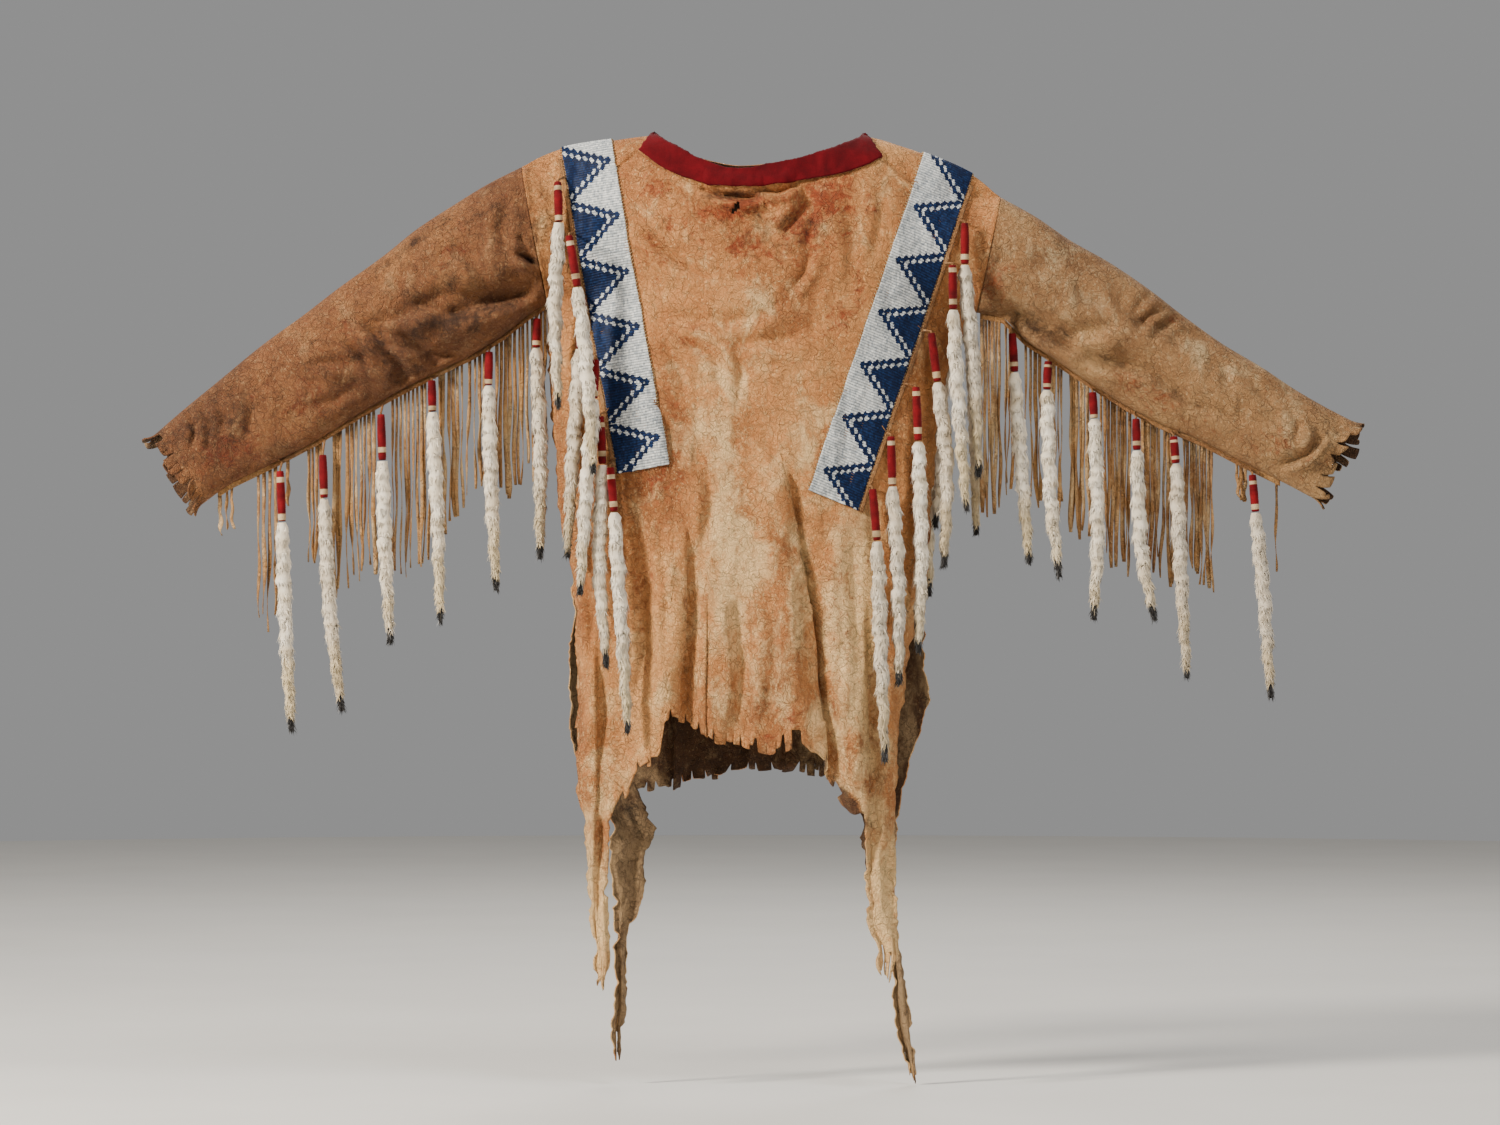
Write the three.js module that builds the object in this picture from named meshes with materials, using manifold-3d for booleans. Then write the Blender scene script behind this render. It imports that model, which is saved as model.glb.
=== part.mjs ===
import * as THREE from 'three';
import { mergeVertices } from 'three/addons/utils/BufferGeometryUtils.js';
import Module from 'manifold-3d';

// A hide war shirt, filled out and held at the shoulders, with open sleeves, beaded strips,
// a red wool neck band, thong fringe and hanging drops of white fur.
// Millimetres, +Z up. The front faces -Y. The origin is midway between the shoulders,
// on the line that holds the shirt up.

// Driving sizes
const HIDE_WALL = 1.8;
const SEAM_SIDE = 1.1;
const CROWN_HEIGHT = 120;
const COLUMNS_SHOULDER = 8;
const COLUMNS_NECK = 9;
const STRIP_WALL = 2.0;
const STRIP_CLEAR = 0.7;
const BAND_CLEAR = 1.1;
const EDGING_WIDTH = 5;
const EDGING_GAP = 0.7;
const EDGING_WALL = 1.8;
const FRINGE_WALL = 1.7;
const FRINGE_STRIP = 6;
const FRINGE_CLEAR = 2.0;
const HEAD_RADIUS = 6.5;
const FUR_RADIUS = 10.4;
const FUR_GAP = 1.0;
const DROP_CLEAR = 1.2;
const AROUND_SLEEVE = 18;
const ARMHOLE_GAP = 1.3;
const HEM_TAB = 12;
const CUFF_TAB = 24;
const CUFF_LEAN = 9;
const OPEN_SIDE_DEPTH = 11;
const FULLER_ABOVE = 0.15;

const wasm = await Module();
wasm.setup();

// Shoulder line from sleeve to sleeve. Between the neck corners it only gives the body's roundness.
const SHOULDER = [
  { x: -326, z: -24 },
  { x: -300, z: -10 },
  { x: -273, z: 0 },
  { x: -201, z: 12 },
  { x: -145, z: 19 },
  { x: 0, z: 26 },
  { x: 142, z: 17 },
  { x: 193, z: 3 },
  { x: 219, z: -6 },
  { x: 286, z: -35 },
  { x: 324, z: -65 },
];
const NECK_LEFT = -145;
const NECK_RIGHT = 142;

// Neck edge of the front and of the back.
const NECKLINE = [
  { x: -145, front: 19, back: 19 },
  { x: -110, front: -6, back: 2 },
  { x: -78, front: -23, back: -9 },
  { x: -28, front: -35, back: -17 },
  { x: 40, front: -22, back: -9 },
  { x: 97, front: -5, back: 3 },
  { x: 142, front: 17, back: 17 },
];

// Side edges of the front.
const FRONT_SIDES = [
  { z: -24, left: -326, right: 324 },
  { z: -65, left: -318.4, right: 324 },
  { z: -70, left: -317.5, right: 323 },
  { z: -140, left: -304.6, right: 308.5 },
  { z: -208, left: -292, right: 294.5 },
  { z: -220, left: -291.5, right: 292 },
  { z: -286, left: -289, right: 258 },
  { z: -367, left: -284, right: 240 },
  { z: -422, left: -279, right: 235 },
  { z: -503, left: -272, right: 228 },
  { z: -585, left: -256, right: 218 },
  { z: -640, left: -252, right: 208 },
  { z: -734, left: -250, right: 193 },
  { z: -823, left: -252, right: 185 },
  { z: -905, left: -250, right: 181 },
];

// Side edges of the back.
const BACK_SIDES = [
  { z: -24, left: -326, right: 324 },
  { z: -65, left: -318.4, right: 324 },
  { z: -70, left: -317.5, right: 323 },
  { z: -140, left: -304.6, right: 308.5 },
  { z: -208, left: -292, right: 294.5 },
  { z: -220, left: -291.5, right: 292 },
  { z: -286, left: -289, right: 258 },
  { z: -367, left: -284, right: 240 },
  { z: -503, left: -270, right: 230 },
  { z: -585, left: -258, right: 224 },
  { z: -640, left: -256, right: 220 },
  { z: -700, left: -262, right: 222 },
  { z: -745, left: -262, right: 227 },
  { z: -786, left: -260, right: 220 },
  { z: -838, left: -250, right: 200 },
  { z: -884, left: -222, right: 190 },
];

// Lower edges.
const FRONT_HEM = [
  { x: -250, z: -880 },
  { x: -189, z: -870 },
  { x: -166, z: -826 },
  { x: -139, z: -812 },
  { x: -129, z: -758 },
  { x: -105, z: -766 },
  { x: -54, z: -789 },
  { x: -29, z: -793 },
  { x: 11, z: -801 },
  { x: 44, z: -787 },
  { x: 70, z: -801 },
  { x: 92, z: -844 },
  { x: 136, z: -899 },
  { x: 181, z: -905 },
];
const BACK_HEM = [
  { x: -230, z: -880 },
  { x: -166, z: -862 },
  { x: -131, z: -858 },
  { x: -105, z: -850 },
  { x: -48, z: -840 },
  { x: 0, z: -834 },
  { x: 83, z: -838 },
  { x: 128, z: -870 },
  { x: 188, z: -884 },
];

// How far the middle of the body stands out, from top to hem.
const BODY_SWELL = [
  { z: 30, front: 74, back: 72 },
  { z: -150, front: 78, back: 76 },
  { z: -400, front: 70, back: 70 },
  { z: -600, front: 64, back: 68 },
  { z: -800, front: 58, back: 66 },
  { z: -910, front: 56, back: 64 },
];

// Armholes: the ring where each sleeve meets the body.
const ARMHOLE = {
  left: { top: -24, under: -208, deep: 44 },
  right: { top: -65, under: -220, deep: 42 },
};

// Soft folds, each a trough along a straight line.
const FRONT_FOLDS = [
  { x1: -99, z1: -520, x2: -110, z2: -780, deep: 15, wide: 17 },
  { x1: 26, z1: -430, x2: 84, z2: -850, deep: 17, wide: 19 },
  { x1: -35, z1: -500, x2: -44, z2: -800, deep: 8, wide: 17 },
  { x1: -185, z1: -470, x2: -196, z2: -870, deep: 7, wide: 18 },
  { x1: 138, z1: -430, x2: 146, z2: -890, deep: 8, wide: 17 },
];
const BACK_FOLDS = [
  { x1: -120, z1: -480, x2: -138, z2: -850, deep: 14, wide: 18 },
  { x1: -20, z1: -460, x2: -14, z2: -830, deep: 12, wide: 18 },
  { x1: 70, z1: -440, x2: 96, z2: -850, deep: 14, wide: 18 },
  { x1: 160, z1: -480, x2: 168, z2: -870, deep: 7, wide: 17 },
];

// Leg drops at the lower corners: side edges going down, and the ragged ends.
const LEG_FRONT_LEFT = [
  { z: -903, left: -243, right: -203 },
  { z: -950, left: -240, right: -206 },
  { z: -993, left: -238, right: -208 },
  { z: -1050, left: -234, right: -207 },
  { z: -1099, left: -231, right: -205 },
  { z: -1124, left: -225, right: -211 },
];
const LEG_FRONT_RIGHT = [
  { z: -940, left: 139, right: 182 },
  { z: -986, left: 137, right: 182 },
  { z: -1048, left: 140, right: 184 },
  { z: -1092, left: 150, right: 186 },
  { z: -1106, left: 155, right: 180 },
];
const LEG_BACK_LEFT = [
  { z: -925, left: -208, right: -143 },
  { z: -964, left: -209, right: -155 },
  { z: -1010, left: -205, right: -160 },
  { z: -1055, left: -203, right: -174 },
  { z: -1100, left: -203, right: -183 },
  { z: -1157, left: -204, right: -185 },
  { z: -1212, left: -205, right: -187 },
  { z: -1232, left: -204, right: -194 },
];
const LEG_BACK_RIGHT = [
  { z: -925, left: 132, right: 186 },
  { z: -968, left: 140, right: 183 },
  { z: -1030, left: 155, right: 182 },
  { z: -1099, left: 172, right: 190 },
  { z: -1150, left: 177, right: 199 },
  { z: -1200, left: 183, right: 208 },
  { z: -1254, left: 197, right: 212 },
];

// Sleeve rings from the armhole to the cuff: upper and under side, and half the depth.
const SLEEVE_LEFT = [
  { topX: -326, topZ: -24, underX: -292, underZ: -208, deep: 44 },
  { topX: -370, topZ: -46, underX: -316, underZ: -223, deep: 46 },
  { topX: -419, topZ: -76, underX: -350, underZ: -250, deep: 47 },
  { topX: -468, topZ: -108, underX: -392, underZ: -277, deep: 46 },
  { topX: -513, topZ: -144, underX: -438, underZ: -299, deep: 44 },
  { topX: -577, topZ: -190, underX: -496, underZ: -329, deep: 42 },
  { topX: -621, topZ: -224, underX: -544, underZ: -356, deep: 40 },
  { topX: -680, topZ: -267, underX: -601, underZ: -392, deep: 37 },
  { topX: -736, topZ: -313, underX: -662, underZ: -424, deep: 33 },
  { topX: -792, topZ: -359, underX: -724, underZ: -454, deep: 29 },
  { topX: -823, topZ: -386, underX: -759, underZ: -479, deep: 27 },
];
const SLEEVE_RIGHT = [
  { topX: 324, topZ: -65, underX: 292, underZ: -220, deep: 42 },
  { topX: 371, topZ: -91, underX: 328, underZ: -228, deep: 44 },
  { topX: 418, topZ: -123, underX: 358, underZ: -258, deep: 45 },
  { topX: 471, topZ: -153, underX: 392, underZ: -280, deep: 44 },
  { topX: 523, topZ: -188, underX: 443, underZ: -314, deep: 42 },
  { topX: 575, topZ: -228, underX: 495, underZ: -347, deep: 40 },
  { topX: 627, topZ: -265, underX: 545, underZ: -373, deep: 37 },
  { topX: 679, topZ: -296, underX: 600, underZ: -396, deep: 34 },
  { topX: 724, topZ: -326, underX: 654, underZ: -424, deep: 31 },
  { topX: 769, topZ: -352, underX: 717, underZ: -455, deep: 28 },
  { topX: 802, topZ: -369, underX: 749, underZ: -472, deep: 26 },
];

// Sleeve folds: ring number, degrees from the upper side round the front, depth, and reach.
const SLEEVE_FOLDS = [
  { ring: 2.2, turn: 120, deep: 5, rings: 0.8, degrees: 34 },
  { ring: 5.0, turn: 62, deep: 4, rings: 0.7, degrees: 30 },
  { ring: 5.4, turn: 128, deep: 6, rings: 0.8, degrees: 30 },
  { ring: 7.6, turn: 95, deep: 3, rings: 0.7, degrees: 40 },
  { ring: 3.0, turn: 236, deep: 5, rings: 0.9, degrees: 34 },
  { ring: 5.6, turn: 250, deep: 6, rings: 0.8, degrees: 34 },
  { ring: 8.2, turn: 270, deep: 3, rings: 0.7, degrees: 36 },
];

// Beaded strips: middle of the strip on the shoulder line, its run down and its half width.
const STRIP_LEFT = { x: -237.5, z: 4.5, runX: 78, runZ: -439.5, acrossX: 34.6, acrossZ: 6.2 };
const STRIP_RIGHT = { x: 252.5, z: -20, runX: -156.5, runZ: -457, acrossX: -33.8, acrossZ: 14.1 };

// Wool band round the front of the neck: its upper and lower edge.
const NECK_BAND = [
  { upX: -145, upZ: 18, lowX: -166, lowZ: -3 },
  { upX: -110, upZ: -3, lowX: -134, lowZ: -29 },
  { upX: -78, upZ: -20, lowX: -102, lowZ: -43 },
  { upX: -52, upZ: -29, lowX: -62, lowZ: -53 },
  { upX: -28, upZ: -32, lowX: -22, lowZ: -55 },
  { upX: 10, upZ: -25, lowX: 17, lowZ: -52 },
  { upX: 40, upZ: -19, lowX: 57, lowZ: -46 },
  { upX: 70, upZ: -11, lowX: 97, lowZ: -39 },
  { upX: 97, upZ: -2, lowX: 136, lowZ: -27 },
  { upX: 142, upZ: 16, lowX: 162, lowZ: -14 },
];

// Drops: top of the wrapped head, its foot, a point half way down the fur, and the tip.
// "out" is how much further from the shirt than its neighbours a drop hangs.
const DROPS_FRONT_LEFT = [
  { x1: -276, z1: -47, x2: -274, z2: -101, x3: -279, z3: -218, x4: -275, z4: -352, out: 0 },
  { x1: -259, z1: -122, x2: -248, z2: -190, x3: -235, z3: -301, x4: -226, z4: -441, out: 36 },
  { x1: -242, z1: -204, x2: -246, z2: -272, x3: -254, z3: -404, x4: -263, z4: -554, out: 0 },
  { x1: -224, z1: -288, x2: -226, z2: -340, x3: -236, z3: -462, x4: -245, z4: -605, out: 13 },
  { x1: -218, z1: -364, x2: -215, z2: -428, x3: -219, z3: -558, x4: -209, z4: -703, out: 0 },
  { x1: -204, z1: -433, x2: -199, z2: -492, x3: -190, z3: -630, x4: -180, z4: -791, out: 9 },
];
const DROPS_FRONT_RIGHT = [
  { x1: 274, z1: -103, x2: 274, z2: -158, x3: 286, z3: -306, x4: 293, z4: -446, out: 0 },
  { x1: 257, z1: -160, x2: 258, z2: -219, x3: 265, z3: -347, x4: 276, z4: -491, out: 8 },
  { x1: 229, z1: -251, x2: 237, z2: -316, x3: 250, z3: -437, x4: 246, z4: -567, out: 0 },
  { x1: 208, z1: -324, x2: 211, z2: -396, x3: 215, z3: -551, x4: 211, z4: -683, out: 0 },
  { x1: 174, z1: -391, x2: 176, z2: -457, x3: 184, z3: -592, x4: 185, z4: -726, out: 0 },
  { x1: 149, z1: -462, x2: 155, z2: -531, x3: 160, z3: -666, x4: 166, z4: -830, out: 0 },
];
const DROPS_BACK_LEFT = [
  { x1: -277, z1: -52, x2: -277, z2: -108, x3: -279, z3: -240, x4: -277, z4: -370, out: 0 },
  { x1: -262, z1: -126, x2: -259, z2: -188, x3: -256, z3: -320, x4: -254, z4: -452, out: 24 },
  { x1: -247, z1: -205, x2: -248, z2: -264, x3: -250, z3: -400, x4: -248, z4: -540, out: 0 },
  { x1: -232, z1: -284, x2: -230, z2: -342, x3: -226, z3: -470, x4: -222, z4: -612, out: 24 },
  { x1: -219, z1: -360, x2: -218, z2: -420, x3: -219, z3: -552, x4: -214, z4: -690, out: 0 },
  { x1: -205, z1: -432, x2: -201, z2: -490, x3: -192, z3: -620, x4: -184, z4: -770, out: 24 },
];
const DROPS_BACK_RIGHT = [
  { x1: 277, z1: -109, x2: 281, z2: -168, x3: 291, z3: -330, x4: 294, z4: -524, out: 0 },
  { x1: 253, z1: -176, x2: 251, z2: -236, x3: 245, z3: -370, x4: 238, z4: -513, out: 0 },
  { x1: 227, z1: -262, x2: 229, z2: -322, x3: 228, z3: -466, x4: 230, z4: -608, out: 22 },
  { x1: 201, z1: -337, x2: 202, z2: -400, x3: 205, z3: -540, x4: 205, z4: -666, out: 0 },
  { x1: 174, z1: -408, x2: 176, z2: -469, x3: 180, z3: -590, x4: 179, z4: -707, out: 0 },
  { x1: 149, z1: -474, x2: 151, z2: -541, x3: 154, z3: -670, x4: 155, z4: -789, out: 0 },
];
const DROPS_SLEEVE_LEFT = [
  { x1: -654, z1: -437, x2: -651, z2: -505, x3: -646, z3: -650, x4: -638, z4: -790, out: 0 },
  { x1: -596, z1: -415, x2: -594, z2: -473, x3: -586, z3: -626, x4: -570, z4: -763, out: 0 },
  { x1: -517, z1: -360, x2: -515, z2: -422, x3: -511, z3: -543, x4: -504, z4: -670, out: 0 },
  { x1: -448, z1: -314, x2: -447, z2: -356, x3: -441, z3: -483, x4: -436, z4: -643, out: 0 },
  { x1: -370, z1: -275, x2: -371, z2: -320, x3: -367, z3: -462, x4: -360, z4: -599, out: 0 },
  { x1: -305, z1: -230, x2: -306, z2: -269, x3: -300, z3: -422, x4: -301, z4: -557, out: 0 },
];
const DROPS_SLEEVE_RIGHT = [
  { x1: 340, z1: -250, x2: 343, z2: -302, x3: 352, z3: -428, x4: 363, z4: -563, out: 0 },
  { x1: 389, z1: -288, x2: 387, z2: -326, x3: 392, z3: -469, x4: 404, z4: -581, out: 0 },
  { x1: 449, z1: -330, x2: 451, z2: -365, x3: 456, z3: -517, x4: 450, z4: -639, out: 0 },
  { x1: 508, z1: -366, x2: 509, z2: -408, x3: 514, z3: -532, x4: 533, z4: -639, out: 0 },
  { x1: 559, z1: -390, x2: 562, z2: -426, x3: 568, z3: -558, x4: 577, z4: -718, out: 0 },
  { x1: 666, z1: -442, x2: 670, z2: -492, x3: 681, z3: -604, x4: 691, z4: -745, out: 0 },
];

// Fringe under each sleeve, in bunches: where a bunch starts and ends, its strands and their length.
const FRINGE_LEFT = [
  { from: -737, to: -721, strands: 2, length: 54 },
  { from: -685, to: -662, strands: 3, length: 212 },
  { from: -645, to: -644, strands: 1, length: 60 },
  { from: -616, to: -600, strands: 3, length: 168 },
  { from: -582, to: -574, strands: 2, length: 216 },
  { from: -564, to: -527, strands: 5, length: 224 },
  { from: -502, to: -452, strands: 7, length: 246 },
  { from: -438, to: -408, strands: 4, length: 212 },
  { from: -397, to: -377, strands: 3, length: 178 },
  { from: -360, to: -295, strands: 8, length: 214 },
];
const FRINGE_RIGHT = [
  { from: 300, to: 323, strands: 4, length: 262 },
  { from: 333, to: 341, strands: 2, length: 232 },
  { from: 360, to: 378, strands: 3, length: 216 },
  { from: 394, to: 408, strands: 3, length: 196 },
  { from: 420, to: 443, strands: 4, length: 206 },
  { from: 462, to: 500, strands: 6, length: 216 },
  { from: 518, to: 541, strands: 4, length: 196 },
  { from: 548, to: 557, strands: 2, length: 218 },
  { from: 575, to: 612, strands: 6, length: 190 },
  { from: 646, to: 657, strands: 2, length: 50 },
  { from: 700, to: 702, strands: 1, length: 128 },
];

// Colours
const HIDE = { color: 0xc79a63, roughness: 0.92, metalness: 0 };
const WOOL = { color: 0x8e1722, roughness: 0.95, metalness: 0 };
const BEADS = { color: 0xe9e4da, roughness: 0.35, metalness: 0 };
const THONG = { color: 0xb9773a, roughness: 0.9, metalness: 0 };
const WRAP = { color: 0xa3242c, roughness: 0.8, metalness: 0 };
const FUR = { color: 0xefe9df, roughness: 0.95, metalness: 0 };

const group = new THREE.Group();

function lerp(a, b, t) {
  return a + (b - a) * t;
}

function ease(from, to, value) {
  const t = Math.min(1, Math.max(0, (value - from) / (to - from)));
  return t * t * (3 - 2 * t);
}

// Reads a column of a table at a place along another column, smoothly and without overshoot.
function read(table, along, wanted, where) {
  const rising = table[0][along] < table[table.length - 1][along];
  const rows = rising ? table : [...table].reverse();
  const last = rows.length - 1;
  if (where <= rows[0][along]) return rows[0][wanted];
  if (where >= rows[last][along]) return rows[last][wanted];
  let k = 0;
  while (where > rows[k + 1][along]) k += 1;
  const grade = (i) =>
    (rows[i + 1][wanted] - rows[i][wanted]) / (rows[i + 1][along] - rows[i][along]);
  const slope = (i) => {
    if (i === 0) return grade(0);
    if (i === last) return grade(last - 1);
    const before = grade(i - 1);
    const after = grade(i);
    return before * after <= 0 ? 0 : (2 * before * after) / (before + after);
  };
  const span = rows[k + 1][along] - rows[k][along];
  const t = (where - rows[k][along]) / span;
  const a = rows[k][wanted];
  const b = rows[k + 1][wanted];
  const bend = slope(k) * span * t * (1 - t) * (1 - t) - slope(k + 1) * span * t * t * (1 - t);
  return a * (1 + 2 * t) * (1 - t) * (1 - t) + b * t * t * (3 - 2 * t) + bend;
}

// Depth of the armhole at a height, and of the open side below it.
function sideDepth(hole, z) {
  const middle = (hole.top + hole.under) / 2;
  const reach = (hole.top - hole.under) / 2;
  const c = (z - middle) / reach;
  if (c >= 1) return 0;
  if (c > -1) return Math.max(0.5, hole.deep * Math.sqrt(1 - c * c) * (1 + FULLER_ABOVE * c));
  return 0.5 + OPEN_SIDE_DEPTH * ease(0, 200, hole.under - z);
}

function foldDepth(folds, x, z) {
  let sum = 0;
  for (const fold of folds) {
    const runX = fold.x2 - fold.x1;
    const runZ = fold.z2 - fold.z1;
    const length = Math.hypot(runX, runZ);
    const along = ((x - fold.x1) * runX + (z - fold.z1) * runZ) / length;
    const away = ((x - fold.x1) * runZ - (z - fold.z1) * runX) / length;
    const grow = ease(-20, length * 0.55, along) * (1 - ease(length, length * 1.35, along));
    sum += fold.deep * grow * Math.exp(-((away / fold.wide) ** 2));
  }
  return sum;
}

const FRONT = {
  sides: FRONT_SIDES,
  hem: FRONT_HEM,
  side: 'front',
  sign: -1,
  folds: FRONT_FOLDS,
  legs: [
    { from: 0, count: 4, rows: LEG_FRONT_LEFT, ends: [0, -9, -2, -11, 1], sway: 5 },
    { from: 22, count: 3, rows: LEG_FRONT_RIGHT, ends: [-11, 0, -15, 2], sway: 6 },
  ],
};
const BACK = {
  sides: BACK_SIDES,
  hem: BACK_HEM,
  side: 'back',
  sign: 1,
  folds: BACK_FOLDS,
  legs: [
    { from: 0, count: 4, rows: LEG_BACK_LEFT, ends: [0, -6, -2, -8, 0], sway: -6 },
    { from: 21, count: 4, rows: LEG_BACK_RIGHT, ends: [0, -6, -1, -11, -3], sway: -7 },
  ],
};

// Depth of a panel's middle surface, measured from the plane of the shoulder line.
function bodyDepth(panel, x, z) {
  const left = read(panel.sides, 'z', 'left', z);
  const right = read(panel.sides, 'z', 'right', z);
  const u = Math.max(-1, Math.min(1, (2 * (x - left)) / (right - left) - 1));
  const side = Math.abs(u);
  const drop = Math.max(0, read(SHOULDER, 'x', 'z', x) - z);
  const crown = Math.sqrt(1 - (1 - Math.min(1, drop / CROWN_HEIGHT)) ** 2);
  const seam = sideDepth(u < 0 ? ARMHOLE.left : ARMHOLE.right, z);
  const power = lerp(0.7, 1.5, ease(-300, -150, z));
  const swell = read(BODY_SWELL, 'z', panel.side, z) * (1 - side ** 2.5) ** power * crown;
  const fold = foldDepth(panel.folds, x, z) * ease(1, 0.85, side);
  return SEAM_SIDE + seam * side ** 3 + swell - fold;
}

function onPanel(panel, x, z) {
  return new THREE.Vector3(x, panel.sign * bodyDepth(panel, x, z), z);
}

// Gives an open sheet a wall from "low" to "high" above its points, as one closed body.
function shell(points, faces, low, high) {
  const normals = points.map(() => new THREE.Vector3());
  const used = new Set();
  const edges = new Set();
  const ab = new THREE.Vector3();
  const ac = new THREE.Vector3();
  for (const [a, b, c] of faces) {
    ab.subVectors(points[b], points[a]);
    ac.subVectors(points[c], points[a]);
    ab.cross(ac);
    for (const k of [a, b, c]) {
      normals[k].add(ab);
      used.add(k);
    }
    edges.add(`${a}_${b}`);
    edges.add(`${b}_${c}`);
    edges.add(`${c}_${a}`);
  }
  const place = new Map();
  const positions = [];
  for (const k of used) {
    place.set(k, place.size);
    const normal = normals[k].normalize();
    const outer = points[k].clone().addScaledVector(normal, high);
    positions.push(outer.x, outer.y, outer.z);
  }
  const count = place.size;
  for (const k of used) {
    const inner = points[k].clone().addScaledVector(normals[k], low);
    positions.push(inner.x, inner.y, inner.z);
  }
  const index = [];
  for (const [a, b, c] of faces) {
    const [i, j, k] = [place.get(a), place.get(b), place.get(c)];
    index.push(i, j, k, count + k, count + j, count + i);
  }
  for (const edge of edges) {
    const [a, b] = edge.split('_').map(Number);
    if (edges.has(`${b}_${a}`)) continue;
    const i = place.get(a);
    const j = place.get(b);
    index.push(j, i, count + i, j, count + i, count + j);
  }
  const geometry = new THREE.BufferGeometry();
  geometry.setAttribute('position', new THREE.Float32BufferAttribute(positions, 3));
  geometry.setIndex(index);
  return geometry;
}

// A closed tube of a few sides through a path, with a radius at each of its points.
function tube(path, radii, sides) {
  const positions = [];
  const index = [];
  const across = new THREE.Vector3(0.31, -0.9, 0.3);
  path.forEach((point, k) => {
    const ahead = path[Math.min(k + 1, path.length - 1)];
    const behind = path[Math.max(k - 1, 0)];
    const along = new THREE.Vector3().subVectors(ahead, behind).normalize();
    across.addScaledVector(along, -across.dot(along)).normalize();
    const up = new THREE.Vector3().crossVectors(along, across);
    for (let s = 0; s < sides; s += 1) {
      const turn = (2 * Math.PI * s) / sides;
      const p = point.clone();
      p.addScaledVector(across, radii[k] * Math.cos(turn));
      p.addScaledVector(up, radii[k] * Math.sin(turn));
      positions.push(p.x, p.y, p.z);
    }
  });
  for (let k = 0; k + 1 < path.length; k += 1) {
    for (let s = 0; s < sides; s += 1) {
      const a = k * sides + s;
      const b = k * sides + ((s + 1) % sides);
      index.push(a, b, a + sides, b, b + sides, a + sides);
    }
  }
  const end = (path.length - 1) * sides;
  for (let s = 1; s + 1 < sides; s += 1) {
    index.push(0, s + 1, s);
    index.push(end, end + s, end + s + 1);
  }
  const geometry = new THREE.BufferGeometry();
  geometry.setAttribute('position', new THREE.Float32BufferAttribute(positions, 3));
  geometry.setIndex(index);
  return geometry;
}

function solid(geometry) {
  const bare = geometry.clone();
  bare.deleteAttribute('normal');
  bare.deleteAttribute('uv');
  const merged = mergeVertices(bare, 1e-4);
  return new wasm.Manifold(
    new wasm.Mesh({
      numProp: 3,
      vertProperties: new Float32Array(merged.attributes.position.array),
      triVerts: new Uint32Array(merged.index.array),
    }),
  );
}

function join(geometries) {
  let whole = solid(geometries[0]);
  for (const piece of geometries.slice(1)) {
    whole = whole.add(solid(piece));
  }
  const mesh = whole.getMesh();
  const geometry = new THREE.BufferGeometry();
  geometry.setAttribute('position', new THREE.Float32BufferAttribute(mesh.vertProperties, 3));
  geometry.setIndex(Array.from(mesh.triVerts));
  return geometry;
}

function add(name, geometry, look) {
  const mesh = new THREE.Mesh(geometry, new THREE.MeshStandardMaterial(look));
  mesh.name = name;
  group.add(mesh);
  return mesh;
}

// Puts the two triangles of a grid cell in a list, wound for the front or the back.
function cell(faces, flip, a, b, c, d) {
  if (flip) faces.push([a, c, b], [a, d, c]);
  else faces.push([a, b, c], [a, c, d]);
}

// Front and back: columns from sleeve to sleeve, rows from the shoulder line to the hem.
const COLUMNS = 2 * COLUMNS_SHOULDER + COLUMNS_NECK;
const ROW_SHARES = [0, 0.006, 0.022, 0.045, 0.075, 0.11, 0.15, 0.185, 0.215, 0.27, 0.36, 0.46,
  0.56, 0.66, 0.76, 0.87, 1];

function columnTop(i) {
  const a = COLUMNS_SHOULDER;
  const b = COLUMNS_SHOULDER + COLUMNS_NECK;
  if (i <= a) return lerp(SHOULDER[0].x, NECK_LEFT, i / a);
  if (i <= b) return lerp(NECK_LEFT, NECK_RIGHT, (i - a) / COLUMNS_NECK);
  return lerp(NECK_RIGHT, SHOULDER[SHOULDER.length - 1].x, (i - b) / COLUMNS_SHOULDER);
}

function columnShare(i) {
  const first = SHOULDER[0].x;
  const last = SHOULDER[SHOULDER.length - 1].x;
  return (columnTop(i) - first) / (last - first);
}

function topEdge(panel, x) {
  if (x <= NECK_LEFT || x >= NECK_RIGHT) return read(SHOULDER, 'x', 'z', x);
  return read(NECKLINE, 'x', panel.side, x);
}

function acrossPanel(panel, share, z) {
  return lerp(read(panel.sides, 'z', 'left', z), read(panel.sides, 'z', 'right', z), share);
}

function hemAt(panel, share) {
  let z = -860;
  for (let turn = 0; turn < 12; turn += 1) {
    z = lerp(z, read(panel.hem, 'x', 'z', acrossPanel(panel, share, z)), 0.7);
  }
  return z;
}

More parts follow.
